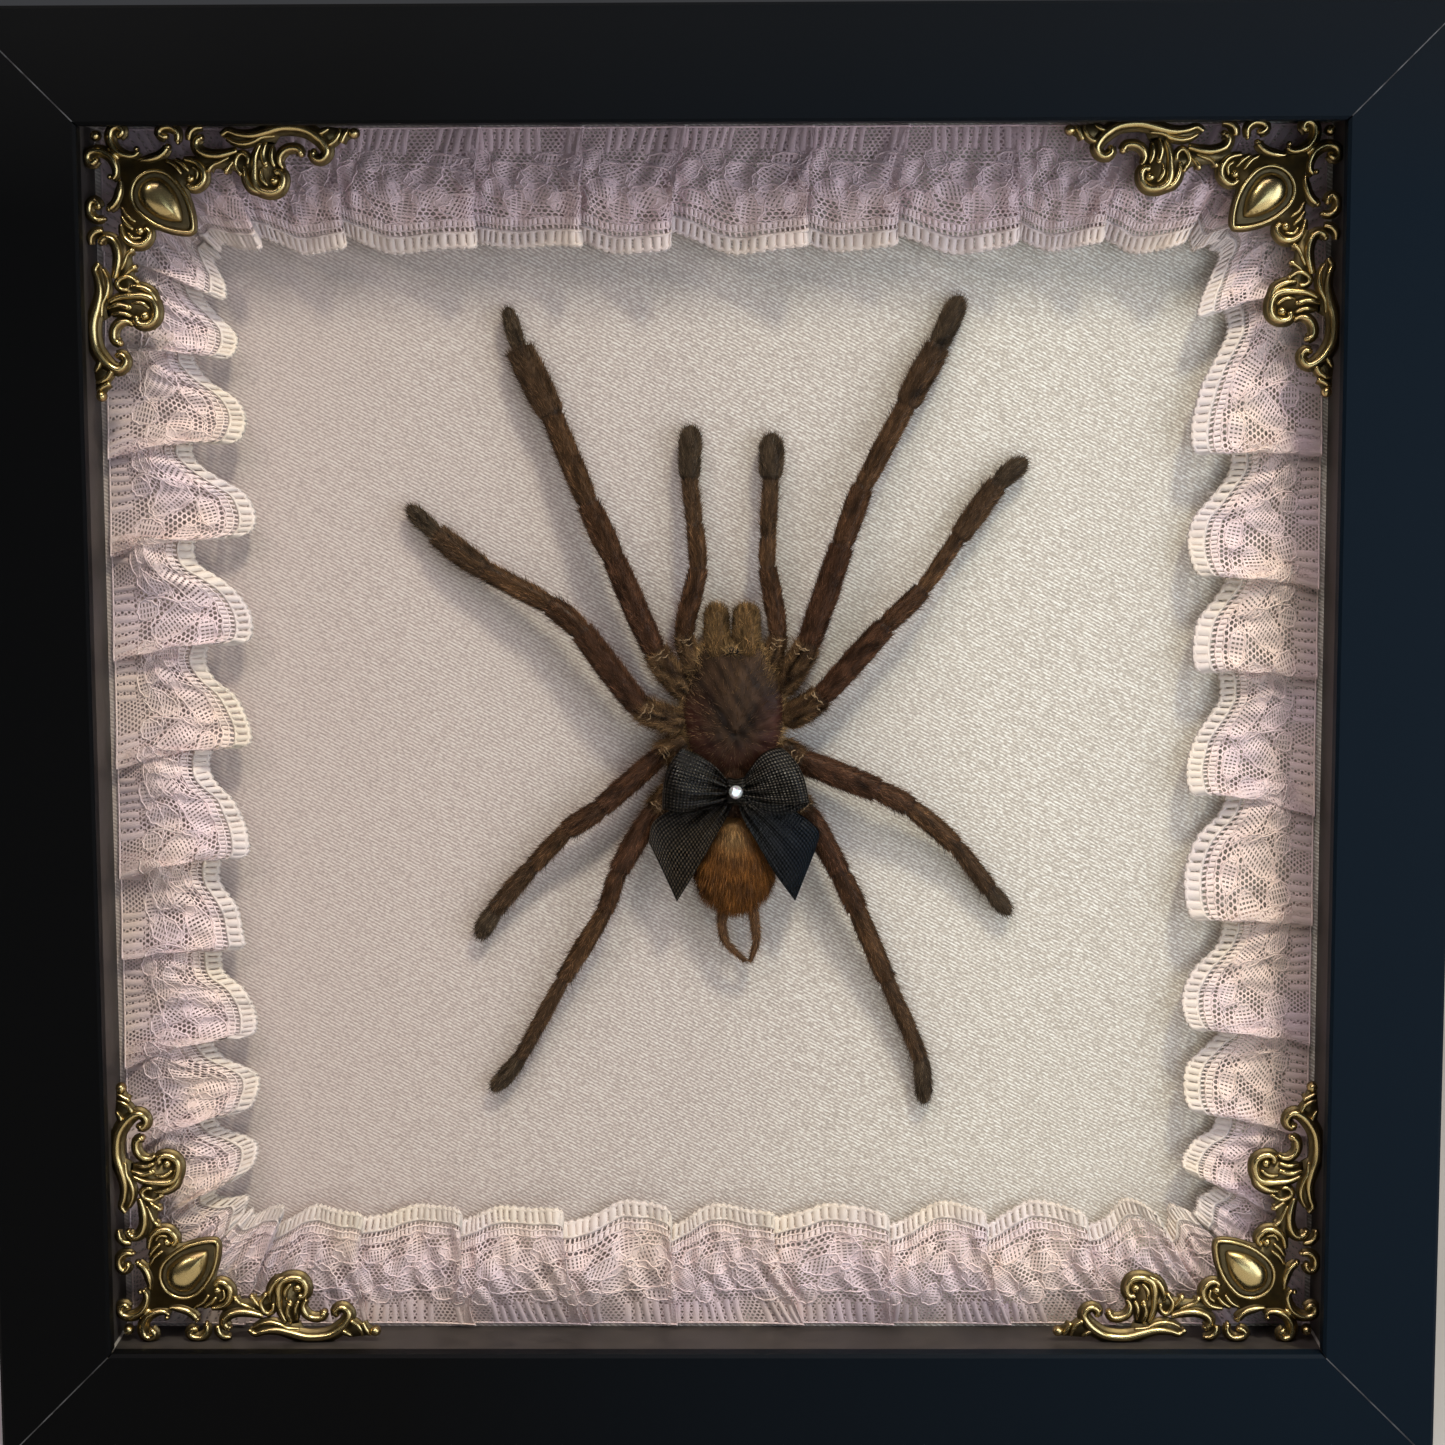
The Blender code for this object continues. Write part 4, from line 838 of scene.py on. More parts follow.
BODY_X = 3.2
LEGS = {                           # joints from the tip to the hip, from BODY_X
    "leg_1_left": ((-36.1, 69.9, 1.9), (-34.1, 63.2, 2.3), (-29.0, 52.7, 3.3), (-23.2, 38.6, 4.9),
                   (-19.1, 29.8, 5.9), (-12.6, 14.9, 5.7), (-7.2, 7.6, 4.3)),
    "leg_2_left": ((-52.5, 38.2, 1.9), (-47.8, 33.7, 2.3), (-40.0, 27.9, 3.3), (-29.5, 22.4, 4.9),
                   (-24.3, 18.1, 5.9), (-15.1, 6.0, 5.5), (-7.6, 3.0, 4.3)),
    "leg_3_left": ((-42.0, -32.6, 1.9), (-39.2, -27.8, 2.2), (-33.0, -20.5, 3.1), (-27.1, -14.3, 4.6),
                   (-21.5, -10.4, 5.4), (-11.9, -2.1, 4.6), (-7.0, 0.0, 4.1)),
    "leg_4_left": ((-40.1, -58.1, 1.9), (-35.4, -52.4, 2.2), (-28.1, -39.2, 3.2), (-21.1, -27.5, 4.8),
                   (-18.7, -20.7, 5.5), (-12.8, -11.0, 4.7), (-3.4, -2.0, 4.2)),
    "leg_1_right": ((36.4, 71.3, 1.9), (32.6, 63.3, 2.3), (27.6, 54.1, 3.4), (20.7, 41.1, 4.9),
                    (17.3, 31.8, 5.9), (11.9, 16.0, 5.7), (7.2, 8.0, 4.3)),
    "leg_2_right": ((47.1, 45.4, 1.9), (42.3, 41.3, 2.3), (36.0, 32.8, 3.3), (30.2, 24.6, 4.9),
                    (24.2, 18.8, 5.9), (14.1, 7.6, 5.5), (7.8, 3.4, 4.3)),
    "leg_3_right": ((45.0, -28.7, 1.9), (41.6, -24.5, 2.2), (35.8, -17.0, 3.1), (28.4, -10.5, 4.6),
                    (23.0, -7.6, 5.4), (10.9, -2.9, 4.6), (7.0, -0.4, 4.1)),
    "leg_4_right": ((31.1, -60.3, 1.9), (30.4, -52.6, 2.2), (24.8, -39.3, 3.2), (19.9, -27.4, 4.8),
                    (17.1, -21.1, 5.5), (11.4, -11.1, 4.7), (3.4, -2.0, 4.2)),
    "palp_left": ((-6.8, 51.0, 2.2), (-7.0, 42.4, 2.8), (-6.2, 35.1, 4.3), (-5.7, 28.1, 5.2),
                  (-8.0, 17.4, 5.2), (-5.0, 10.0, 4.5)),
    "palp_right": ((6.2, 49.7, 2.2), (6.0, 42.4, 2.8), (5.5, 33.0, 4.3), (5.5, 28.3, 5.2),
                   (7.1, 17.3, 5.2), (5.0, 10.0, 4.5)),
}
LEG_WIDTHS = {                     # across the hairs, from the tarsus to the femur
    "leg_1_left": (2.9, 4.9, 3.9, 4.2, 4.2), "leg_2_left": (3.1, 4.1, 3.6, 3.9, 4.4),
    "leg_3_left": (3.4, 3.3, 3.2, 3.7, 3.8), "leg_4_left": (3.1, 2.7, 3.2, 3.2, 3.9),
    "leg_1_right": (3.8, 4.4, 3.5, 3.9, 4.3), "leg_2_right": (3.5, 3.8, 2.9, 3.5, 4.1),
    "leg_3_right": (3.1, 3.1, 3.5, 3.8, 4.4), "leg_4_right": (3.1, 3.0, 3.5, 3.8, 4.0),
    "palp_left": (3.9, 3.0, 3.2, 3.5), "palp_right": (4.2, 3.0, 3.0, 3.4),
}
COXA_WIDTH = 4.6
HAIR_EACH_SIDE = 0.27              # how far the short coat stands off the skin
SEGMENT_COATS = [                  # hair colour from the tarsus to the coxa
    (0.098, 0.066, 0.040), (0.118, 0.066, 0.034), (0.120, 0.062, 0.029), (0.098, 0.047, 0.023),
    (0.092, 0.042, 0.022), (0.115, 0.062, 0.030)]
GOLD = (0.46, 0.29, 0.130)
CHELICERA_COAT = (0.205, 0.120, 0.050)
MEMBRANE = (0.42, 0.29, 0.17)
WAIST_COAT = (0.085, 0.046, 0.027)
CARAPACE_COAT = (0.078, 0.042, 0.021)
SIDES_ROUND = 20


def placed(points):
    """Points (x, z, h) on the backing in the box's own place, in metres."""
    return np.stack([points[..., 0] * MM, (SATIN_Y - points[..., 2]) * MM,
                     CENTRE_Z + points[..., 1] * MM], -1)


def quads(index, after):
    """Four-sided faces between the rows of a grid of numbers and of the same grid one place on."""
    return np.stack([index[:-1], index[1:], after[1:], after[:-1]], -1).reshape(-1, 4).tolist()


class Hide:
    """Gathers patches of skin, with the colour, lie and thickness of the hair on each point."""

    GROWTHS = ("fur", "gold", "rust", "bristle", "wisp")

    def __init__(self):
        self.points, self.faces, self.lay, self.coat, self.skin = [], [], [], [], []
        self.growths = {name: [] for name in self.GROWTHS}
        self.count = 0

    def patch(self, grid, lay, coat, skin, **growths):
        """Adds a tube or dish: rows of points (rows, round, 3), with values for each point or for all."""
        rows, round_ = grid.shape[:2]
        size = rows * round_
        index = self.count + np.arange(size).reshape(rows, round_)
        self.faces += quads(index, np.roll(index, -1, axis=1))
        self.faces += [index[0].tolist(), index[-1][::-1].tolist()]
        self.points.append(grid.reshape(-1, 3))
        for kept, value, width in ((self.lay, lay, 3), (self.coat, coat, 3), (self.skin, skin, 3)):
            kept.append(np.broadcast_to(value, (rows, round_, width)).reshape(-1, width))
        for name, kept in self.growths.items():
            kept.append(np.broadcast_to(growths.get(name, 0.0), (rows, round_)).reshape(-1))
        self.count += size

    def mesh(self, name):
        """All the patches as one mesh, with their values as its attributes."""
        data = bpy.data.meshes.new(name)
        data.from_pydata(placed(np.concatenate(self.points)).tolist(), [], self.faces)
        lay = np.concatenate(self.lay)
        lay = np.stack([lay[:, 0], -lay[:, 2], lay[:, 1]], -1)
        data.attributes.new("lay", "FLOAT_VECTOR", "POINT").data.foreach_set("vector", lay.ravel())
        for key, values in (("coat", self.coat), ("skin", self.skin)):
            colours = np.concatenate(values)
            colours = np.concatenate([colours, np.ones((len(colours), 1))], -1)
            data.attributes.new(key, "FLOAT_COLOR", "POINT").data.foreach_set("color", colours.ravel())
        for key, values in self.growths.items():
            data.attributes.new(key, "FLOAT", "POINT").data.foreach_set("value", np.concatenate(values))
        data.shade_smooth()
        return data


def course(points, spacing):
    """A smooth path through joints, with how far along it each joint is."""
    points = np.array(points, float)
    ends = np.vstack([2 * points[0] - points[1], points, 2 * points[-1] - points[-2]])
    bends = []
    for a, b, c, d in zip(ends, ends[1:], ends[2:], ends[3:]):
        t = np.linspace(0, 1, 24, endpoint=False)[:, None]
        # A low tension keeps each segment straight and turns at the joint.
        leave, arrive = 0.5 * (c - a) * 0.62 + (c - b) * 0.38, 0.5 * (d - b) * 0.62 + (c - b) * 0.38
        bends.append((2 * t ** 3 - 3 * t ** 2 + 1) * b + (t ** 3 - 2 * t ** 2 + t) * leave
                     + (3 * t ** 2 - 2 * t ** 3) * c + (t ** 3 - t ** 2) * arrive)
    fine = np.vstack([*bends, points[-1:]])
    gone = np.concatenate([[0], np.cumsum(np.linalg.norm(np.diff(fine, axis=0), axis=1))])
    along = np.linspace(0, gone[-1], max(3, int(round(gone[-1] / spacing)) + 1))
    return np.stack([np.interp(along, gone, fine[:, k]) for k in range(3)], -1), along, gone[::24]


def round_tube(path, wide, tall, sides=SIDES_ROUND, ripple=None):
    """Rings round a path: the grid, the way along it and the outward way at each point."""
    ahead = np.gradient(path, axis=0)
    ahead /= np.linalg.norm(ahead, axis=1, keepdims=True)
    across = np.cross(ahead, (0, 0, 1.0))
    across /= np.linalg.norm(across, axis=1, keepdims=True)
    up = np.cross(across, ahead)
    turn = 2 * math.pi * np.arange(sides) / sides
    out_wide = np.broadcast_to(wide, len(path))[:, None] * np.cos(turn)
    out_tall = np.broadcast_to(tall, len(path))[:, None] * np.sin(turn)
    if ripple is not None:
        out_wide, out_tall = out_wide * ripple, out_tall * ripple
    grid = path[:, None] + out_wide[..., None] * across[:, None] + out_tall[..., None] * up[:, None]
    outward = (np.cos(turn)[None, :, None] * across[:, None] + np.sin(turn)[None, :, None] * up[:, None])
    return grid, np.broadcast_to(ahead[:, None], grid.shape), outward


def mottle(seed, along, turn, rate=1.0):
    """Slow, uneven variation along and round a limb, about -1 to 1."""
    picks = random.Random(seed)
    total = 0
    for _ in range(6):
        total = total + np.sin(picks.uniform(0.3, 1.6) * rate * along + picks.randint(1, 4) * turn
                               + picks.uniform(0, 6.3)) / 3.2
    return total


def streaks(seed, rows, columns, long):
    """Uneven streaks along a limb, about -1 to 1: each column its own smoothed noise."""
    noise = np.random.default_rng(seed).normal(size=(rows + 4 * long, columns))
    weight = np.hanning(2 * long + 3)[1:-1]
    smooth = np.apply_along_axis(lambda v: np.convolve(v, weight / np.linalg.norm(weight), "same"), 0, noise)
    return np.clip(smooth[2 * long:2 * long + rows], -2, 2) / 1.6


def blend(low, high, share):
    """From one colour to the other by a share at each point."""
    share = np.asarray(share)[..., None]
    return np.asarray(low) * (1 - share) + np.asarray(high) * share


hide = Hide()
spines = []                        # roots and ways of the few long dark spines
picks = random.Random(31)
for number, (name, joints) in enumerate(LEGS.items()):
    joints = [(x + BODY_X, z, h) for x, z, h in joints]
    path, along, at_joint = course(joints, 0.32)
    segment = np.clip(np.searchsorted(at_joint, along, side="right") - 1, 0, len(joints) - 2)
    palp = name.startswith("palp")
    widths = np.array([*LEG_WIDTHS[name], COXA_WIDTH * (0.8 if palp else 1.0)])
    coats = np.array([*SEGMENT_COATS[:len(widths) - 1], SEGMENT_COATS[-1]])
    start, end = at_joint[segment], at_joint[segment + 1]
    share = (along - start) / (end - start)
    distal, proximal = along - start, end - along
    radius = widths[segment] / 2 - HAIR_EACH_SIDE
    radius = radius * (0.90 + 0.12 * np.sin(math.pi * np.clip(share * 0.9 + 0.05, 0, 1)))
    inner = (segment > 0) * np.exp(-(distal / 0.7) ** 2) * 0.05 - np.exp(-(proximal / 0.5) ** 2) * 0.10
    radius = radius * (1 + inner - (segment > 0) * 0.06 * np.exp(-(distal / 0.25) ** 2))
    tip = np.clip(along / 2.8, 0, 1)
    radius = radius * np.sqrt(np.clip(1 - (1 - tip) ** 2, 0.004, 1))
    hip = np.clip((along[-1] - along) / 1.2, 0, 1)
    radius = radius * np.sqrt(np.clip(1 - (1 - hip) ** 2, 0.1, 1))
    turn = 2 * math.pi * np.arange(SIDES_ROUND) / SIDES_ROUND
    rough = mottle(number, along[:, None], turn[None])
    lumps = mottle(number + 40, along[:, None], turn[None], 2.6)
    ripple = 1 + 0.035 * rough + 0.02 * lumps + 0.03 * np.cos(2 * turn)[None]
    grid, ahead, outward = round_tube(path, radius, radius * 0.93, ripple=ripple)
    joint_near = np.exp(-(np.minimum(distal + (segment == 0) * 9, proximal) / 0.32) ** 2)
    coat = coats[segment]
    melt = np.clip(0.5 - share, 0, 0.5)[:, None] * 0.5
    coat = coat * (1 - melt) + coats[np.maximum(segment - 1, 0)] * melt
    streaked = streaks(number + 200, len(path), SIDES_ROUND, 5)
    coxa = (segment == len(widths) - 1) * 1.0
    coat = coat[:, None] * (1 + 0.2 * rough + (0.38 + 0.4 * coxa)[:, None] * streaked)[..., None]
    bald = np.exp(-((np.abs(turn - math.pi / 2) - 0.62) / 0.16) ** 2)[None]
    bald = bald * np.isin(segment, (2, 3, 4))[:, None]
    coat = coat * (1 + 0.55 * bald * (0.6 + 0.4 * lumps))[..., None]
    coat = blend(coat, GOLD, 0.34 * coxa[:, None] * np.clip(0.2 + 0.7 * streaked, 0, 1))
    skin = coat * 0.55
    skin = blend(skin, (0.012, 0.007, 0.005), (0.6 * joint_near * (1 - coxa))[:, None] * np.ones_like(rough))
    facing = outward[..., 2]
    under = np.clip((facing + 0.55) / 0.4, 0, 1)
    fur = under * (1 - 0.5 * joint_near[:, None]) * (1 - 0.3 * bald)
    bristle = under * (0.35 + 0.65 * (np.abs(facing) < 0.75)) * (1 - joint_near[:, None])
    bristle = bristle * np.where(segment == 1, 1.7, 1.0)[:, None]
    gold = under * (coxa * 1.2 + np.exp(-(proximal / 1.6) ** 2) * (segment == len(widths) - 2) * 0.8)[:, None]
    hide.patch(grid, -ahead, coat, skin, fur=fur * (1 - 0.5 * coxa[:, None]), bristle=bristle, gold=gold)
    for joint in (1, 2, 3) if not palp else ():
        for _ in range(3 if joint == 2 else 2):
            row = int(np.argmin(np.abs(along - at_joint[joint] - picks.uniform(0.5, 2.6))))
            side = picks.choice((0, 1, 2, 7, 8, 9, 10)) * SIDES_ROUND // 20
            spines.append((grid[row, side], -0.75 * ahead[row, side] + 0.85 * outward[row, side]))
    # The pale membrane shows as a curl round the hip joint.
    for gap, first, last in ((0.30, 2, 8), (0.75, 3, 6), (1.25, 5, 9), (1.9, 2, 5)):
        ring_at = np.argmin(np.abs(along - at_joint[-2] - gap - picks.uniform(-0.15, 0.15)))
        shift = picks.choice((-1, 0, 1))
        loop = smooth_line(grid[ring_at, first + shift:last + shift] + (0, 0, 0.08), 0.25)
        crinkle = 0.2 * np.sin(np.linspace(0, math.pi, len(loop)))
        crinkle = crinkle + 0.1 * np.sin(np.arange(len(loop)) * 1.7 + gap * 9)
        loop[:, :2] += crinkle[:, None] * ahead[ring_at, 0, :2]
        fat = 0.085 * (1 + 0.45 * np.sin(np.arange(len(loop)) * 1.1 + number))
        curl, ahead_curl = round_tube(loop, fat, fat, 6)[:2]
        hide.patch(curl, ahead_curl, GOLD, MEMBRANE)

# The carapace: half widths and middles at distances along it, then a dome with a raised head.
SHELL = np.array([(-5.6, 3.4, 2.0), (-4.6, 3.2, 4.6), (-2.8, 3.1, 6.5), (-0.9, 3.1, 7.3), (1.2, 3.1, 7.8),
                  (3.4, 3.1, 8.3), (5.8, 3.1, 8.4), (8.5, 3.15, 8.15), (11.3, 3.15, 7.6), (13.3, 3.05, 6.4),
                  (14.8, 2.95, 5.4), (16.0, 2.95, 4.5), (16.6, 2.95, 2.8)])
SHELL_MIDDLE = (3.1, 4.2)
SHELL_EDGE, SHELL_HIGH = 4.5, 3.4
FOVEA = (3.7, 1.6)
rim = np.concatenate([np.stack([SHELL[:, 1] + SHELL[:, 2], SHELL[:, 0]], -1),
                      np.stack([SHELL[:, 1] - SHELL[:, 2], SHELL[:, 0]], -1)[::-1]])
rim = smooth_line(np.vstack([rim, rim[:1]]), 0.55)[:-1]
rings = np.concatenate([np.linspace(0.02, 0.9, 20), 0.9 + 0.1 * np.sin(np.linspace(0.2, 1, 6) * math.pi / 2)])
flat = np.array(SHELL_MIDDLE) + rings[:, None, None] * (rim - SHELL_MIDDLE)[None]
x, z = flat[..., 0], flat[..., 1]
out = np.broadcast_to(rings[:, None], x.shape)
dome = (1 - out ** 3.0) ** 0.55
head = np.exp(-((x - 3.0) / 3.9) ** 2) * np.clip((z - 1.5) / 7.0, 0, 1) * (1 - out ** 6)
thorax = (x - FOVEA[0]), (z - FOVEA[1])
away = np.hypot(*thorax)
way = np.arctan2(thorax[1], np.abs(thorax[0]))
grooves = 0.0
for toward, deep in ((-58, 0.20), (-22, 0.30), (8, 0.32), (32, 0.28), (56, 0.26)):
    off = way - math.radians(toward)
    groove = np.exp(-(np.sin(off) * away / 0.55) ** 2) * (np.cos(off) > 0)
    grooves = grooves + groove * np.clip(away / 2.0, 0, 1) * np.clip((7.6 - away) / 2.5, 0, 1) * deep
pit = np.exp(-((x - FOVEA[0]) / 1.05) ** 2 - ((z - FOVEA[1] - 0.25 * (x - FOVEA[0]) ** 2) / 0.32) ** 2)
brow = 1.5 * np.clip((z - 11.0) / 4.0, 0, 1)
h = SHELL_EDGE + brow + (SHELL_HIGH - brow) * dome + 0.7 * head - 0.75 * grooves - 0.6 * pit
h = h + 0.07 * np.sin(1.9 * x + 0.8 * z) * np.sin(1.3 * z - 0.9 * x) * (1 - out ** 4)
grid = np.stack([x, z, h], -1)
radial = np.stack([x - FOVEA[0], z - FOVEA[1], -0.6 * out * away], -1) / (away[..., None] + 0.5)
# Patches and radial streaks over the shell: partly its own mottling, partly a painted sheen between the
# grooves.
tan_and_sheen = np.clip(0.5 + 0.28 * np.sin(1.3 * x - 0.7) * np.sin(0.9 * z + 1.0) + 0.22 * np.sin(2.9 * x + 1.7 * z)
              + 0.20 * np.sin(5 * way + 0.6) * np.clip(away / 3, 0, 1), 0, 1)
maroon = np.clip((out - 0.35) / 0.5, 0, 1) * np.clip((9.5 - z) / 5.0, 0, 1)
shell = blend((0.013, 0.0075, 0.005), (0.070, 0.039, 0.022), tan_and_sheen ** 1.3)
shell = blend(shell, (0.058, 0.017, 0.012), 0.75 * maroon)
# The shell is painted darker in its grooves and fovea pit, a painted shade.
shell = shell * (1 - 0.5 * np.clip(grooves * 2, 0, 1) - 0.4 * pit)[..., None]
streak = np.clip(np.sin(9 * way + 1.0) * 0.5 + 0.2, 0, 1) * np.clip((away - 2.5) / 2, 0, 1) * (z > 0)
fringe = np.clip((out - 0.9) / 0.08, 0, 1)
tufts = np.exp(-((np.abs(x - 3.0) - 6.0) / 1.4) ** 2 - ((z - 13.0) / 2.6) ** 2) * np.where(x > 3, 1.3, 0.7)
tufts = tufts + 0.5 * np.exp(-((z - 16.0) / 0.6) ** 2)
coat = blend(CARAPACE_COAT, GOLD, np.clip(0.25 * streak + 0.9 * fringe + 0.8 * tufts, 0, 1))
hide.patch(grid, radial, coat, shell,
           fur=0.17 + 0.12 * tan_and_sheen + 0.45 * fringe + 0.3 * np.clip((0.5 - z) / 4.0, 0, 1),
           gold=1.6 * fringe + 0.10 * streak + 1.1 * tufts)
belly_rings = [(1.0, SHELL_EDGE), (0.985, 3.6), (0.9, 2.3), (0.7, 1.1), (0.35, 0.65), (0.03, 0.6)]
grid = np.stack([np.concatenate([SHELL_MIDDLE + k * (rim - SHELL_MIDDLE), np.full((len(rim), 1), high)], -1)
                 for k, high in belly_rings])
hide.patch(grid, (0.0, -1.0, 0.0), (0.14, 0.09, 0.045), (0.05, 0.03, 0.02),
           gold=np.array([1.0, 0.9, 0.0, 0.0, 0.0, 0.0])[:, None])

# The eye mound, low and round, at the front of the head.
path = np.array([(2.95 + 1.15 * t, 15.2, 7.85) for t in np.linspace(-1, 1, 15)])
swell = np.sqrt(np.clip(1 - np.linspace(-0.995, 0.995, 15) ** 2, 0, 1))
grid, ahead, outward = round_tube(path, 0.72 * swell, 0.8 * swell, 16)
hide.patch(grid, (0.0, 0.8, 0.3), GOLD, (0.012, 0.009, 0.008), fur=0.5, gold=0.9)

# The chelicerae: two stout fang bases side by side, blunt in front.
for middle, wide, lean, seed in ((0.50, 2.10, -0.05, 301), (5.20, 2.32, 0.1, 302)):
    t = np.linspace(0, 1, 40)
    low = 2.6 * np.clip(1 - t / 0.5, 0, 1) ** 2
    path = np.stack([middle + lean * (t - 0.5) * 2, 12.2 + 10.1 * t, 5.1 - low - 0.75 * t ** 2], -1)
    blunt = np.clip((1 - t) / 0.19, 0, 1)
    size = np.sqrt(np.clip(1 - (1 - blunt) ** 2, 0.02, 1)) * (0.90 + 0.10 * np.sin(math.pi * t))
    turn = 2 * math.pi * np.arange(24) / 24
    square = (np.abs(np.cos(turn)) ** 2.6 + np.abs(np.sin(turn)) ** 2.6) ** (-1 / 2.6)
    grid, ahead, outward = round_tube(path, (wide - 0.2) * size, 3.1 * size, 24, square[None])
    tone = 1 + 0.22 * np.sin(3 * turn + 4 * t[:, None]) * np.sin(10.2 * t[:, None])
    tone = tone + 0.65 * streaks(seed, 40, 24, 5)
    # Painted shade: the fang bases are painted darker along their sides, which darkens the slit between them.
    tone = tone * (1.15 - 0.75 * np.abs(np.cos(turn)) ** 2.5)
    hide.patch(grid, ahead, np.array(CHELICERA_COAT) * tone[..., None], np.array(CHELICERA_COAT) * 0.5,
               fur=np.clip((outward[..., 2] + 0.6) / 0.4, 0, 1) * 1.25, gold=0.45 * (outward[..., 2] > -0.3))

# The waist and the abdomen, a little sunken in drying.
path = np.array([(3.2, z, 4.3) for z in np.linspace(-3.4, -12.0, 12)])
grid, ahead, outward = round_tube(path, 2.6, 2.4, 16)
hide.patch(grid, (0, -1.0, 0), WAIST_COAT, (0.05, 0.02, 0.01), fur=1.0)
z = -19.2 + 8.7 * np.cos(np.linspace(0.05, math.pi - 0.05, 56))
wide = np.interp(z, (-27.9, -27.0, -25.4, -23.3, -21.6, -19.0, -15.5, -12.5, -10.5),
                 (0.5, 2.6, 4.7, 6.0, 6.4, 6.35, 5.7, 4.4, 0.6))
tall = np.interp(z, (-27.9, -26.4, -22, -18, -13, -10.5), (0.4, 2.4, 3.9, 4.1, 3.5, 0.5))
path = np.stack([3.15 - 0.02 * (z + 19), z, 4.7 - 0.25 * np.cos((z + 19) / 9)], -1)
turn = 2 * math.pi * np.arange(40) / 40
rough = mottle(77, z[:, None], turn[None], 1.3)
grid, ahead, outward = round_tube(path, wide, tall, 40, 1 + 0.02 * rough)
warm = 0.45 + 0.3 * rough + 0.4 * np.cos(turn - math.pi / 2)[None] + 0.3 * streaks(78, 56, 40, 3)
coat = blend((0.046, 0.019, 0.009), (0.215, 0.086, 0.021), np.clip(warm, 0, 1))
# A golden patch on the abdomen's crown is a painted highlight.
painted_crown_highlight = np.exp(-((z + 14.5) / 2.6) ** 2)[:, None] * np.exp(-((turn - math.pi / 2) / 0.4) ** 2)[None]
coat = blend(coat, GOLD, 0.6 * painted_crown_highlight)
upper = np.clip((outward[..., 2] + 0.75) / 0.5, 0, 1)
hide.patch(grid, ahead, coat, coat * 0.62, rust=upper * (0.75 + 0.25 * rough),
           wisp=upper * np.clip((-18.0 - z) / 6.0, 0.15, 1)[:, None])

SPINNERETS = (((-1.7, -26.0, 4.6), (-2.1, -29.8, 5.0), (-1.3, -32.9, 4.6), (1.9, -36.1, 3.8)),
              ((2.8, -26.0, 4.6), (3.3, -29.6, 5.0), (3.5, -32.6, 4.6), (2.5, -36.3, 3.6)))
for joints in SPINNERETS:
    path, along, at_joint = course([(x + BODY_X, z, h) for x, z, h in joints], 0.25)
    radius = np.interp(along, at_joint, (0.80, 0.78, 0.60, 0.32))
    for place in at_joint[1:-1]:
        radius = radius * (1 - 0.22 * np.exp(-((along - place) / 0.3) ** 2))
    radius = radius * np.sqrt(np.clip(1 - (1 - np.clip((along[-1] - along) / 0.7, 0, 1)) ** 2, 0.02, 1))
    grid, ahead, outward = round_tube(path, radius, radius, 14)
    hide.patch(grid, ahead, (0.20, 0.105, 0.048), (0.09, 0.045, 0.022), fur=0.8, bristle=0.8, wisp=0.5)

chitin, tree = new_material("dry_chitin", Roughness=0.38, Specular_IOR_Level=0.1)
place = node(tree, "TexCoord").outputs["Object"]
own = node(tree, "Attribute", attribute_name="skin").outputs["Color"]
pores = speckle(tree, place, 2600.0, 3.0)
dust = speckle(tree, place, 420.0, 4.0, 0.7)
wear_and_sheen = tones(tree, 1.0, own, ramp(tree, dust, (0.3, 0.62), (0.7, 1.0)), "MULTIPLY")
drive(tree, Base_Color=wear_and_sheen, Roughness=ramp(tree, dust, (0.3, 0.34), (0.7, 0.6)),
      Normal=bump(tree, pores, 0.5, 0.00006))
skin = add_piece("tarantula_skin", hide.mesh("tarantula_skin"), chitin, ["tarantula"])

# Short hair, golden hair, the abdomen's fur and the sparse bristles grow from the skin by one tree.
hair, tree = new_material("spider_hair", Roughness=0.45, Specular_IOR_Level=0.08)
own = node(tree, "Attribute", attribute_name="coat").outputs["Color"]
strand = node(tree, "Attribute", attribute_name="strand").outputs["Fac"]
varied = tones(tree, 1.0, own, ramp(tree, strand, (0.0, 0.25), (0.75, 0.85), (1.0, 1.9)), "MULTIPLY")
drive(tree, Base_Color=varied, Roughness=ramp(tree, strand, (0.0, 0.5), (1.0, 0.34)))


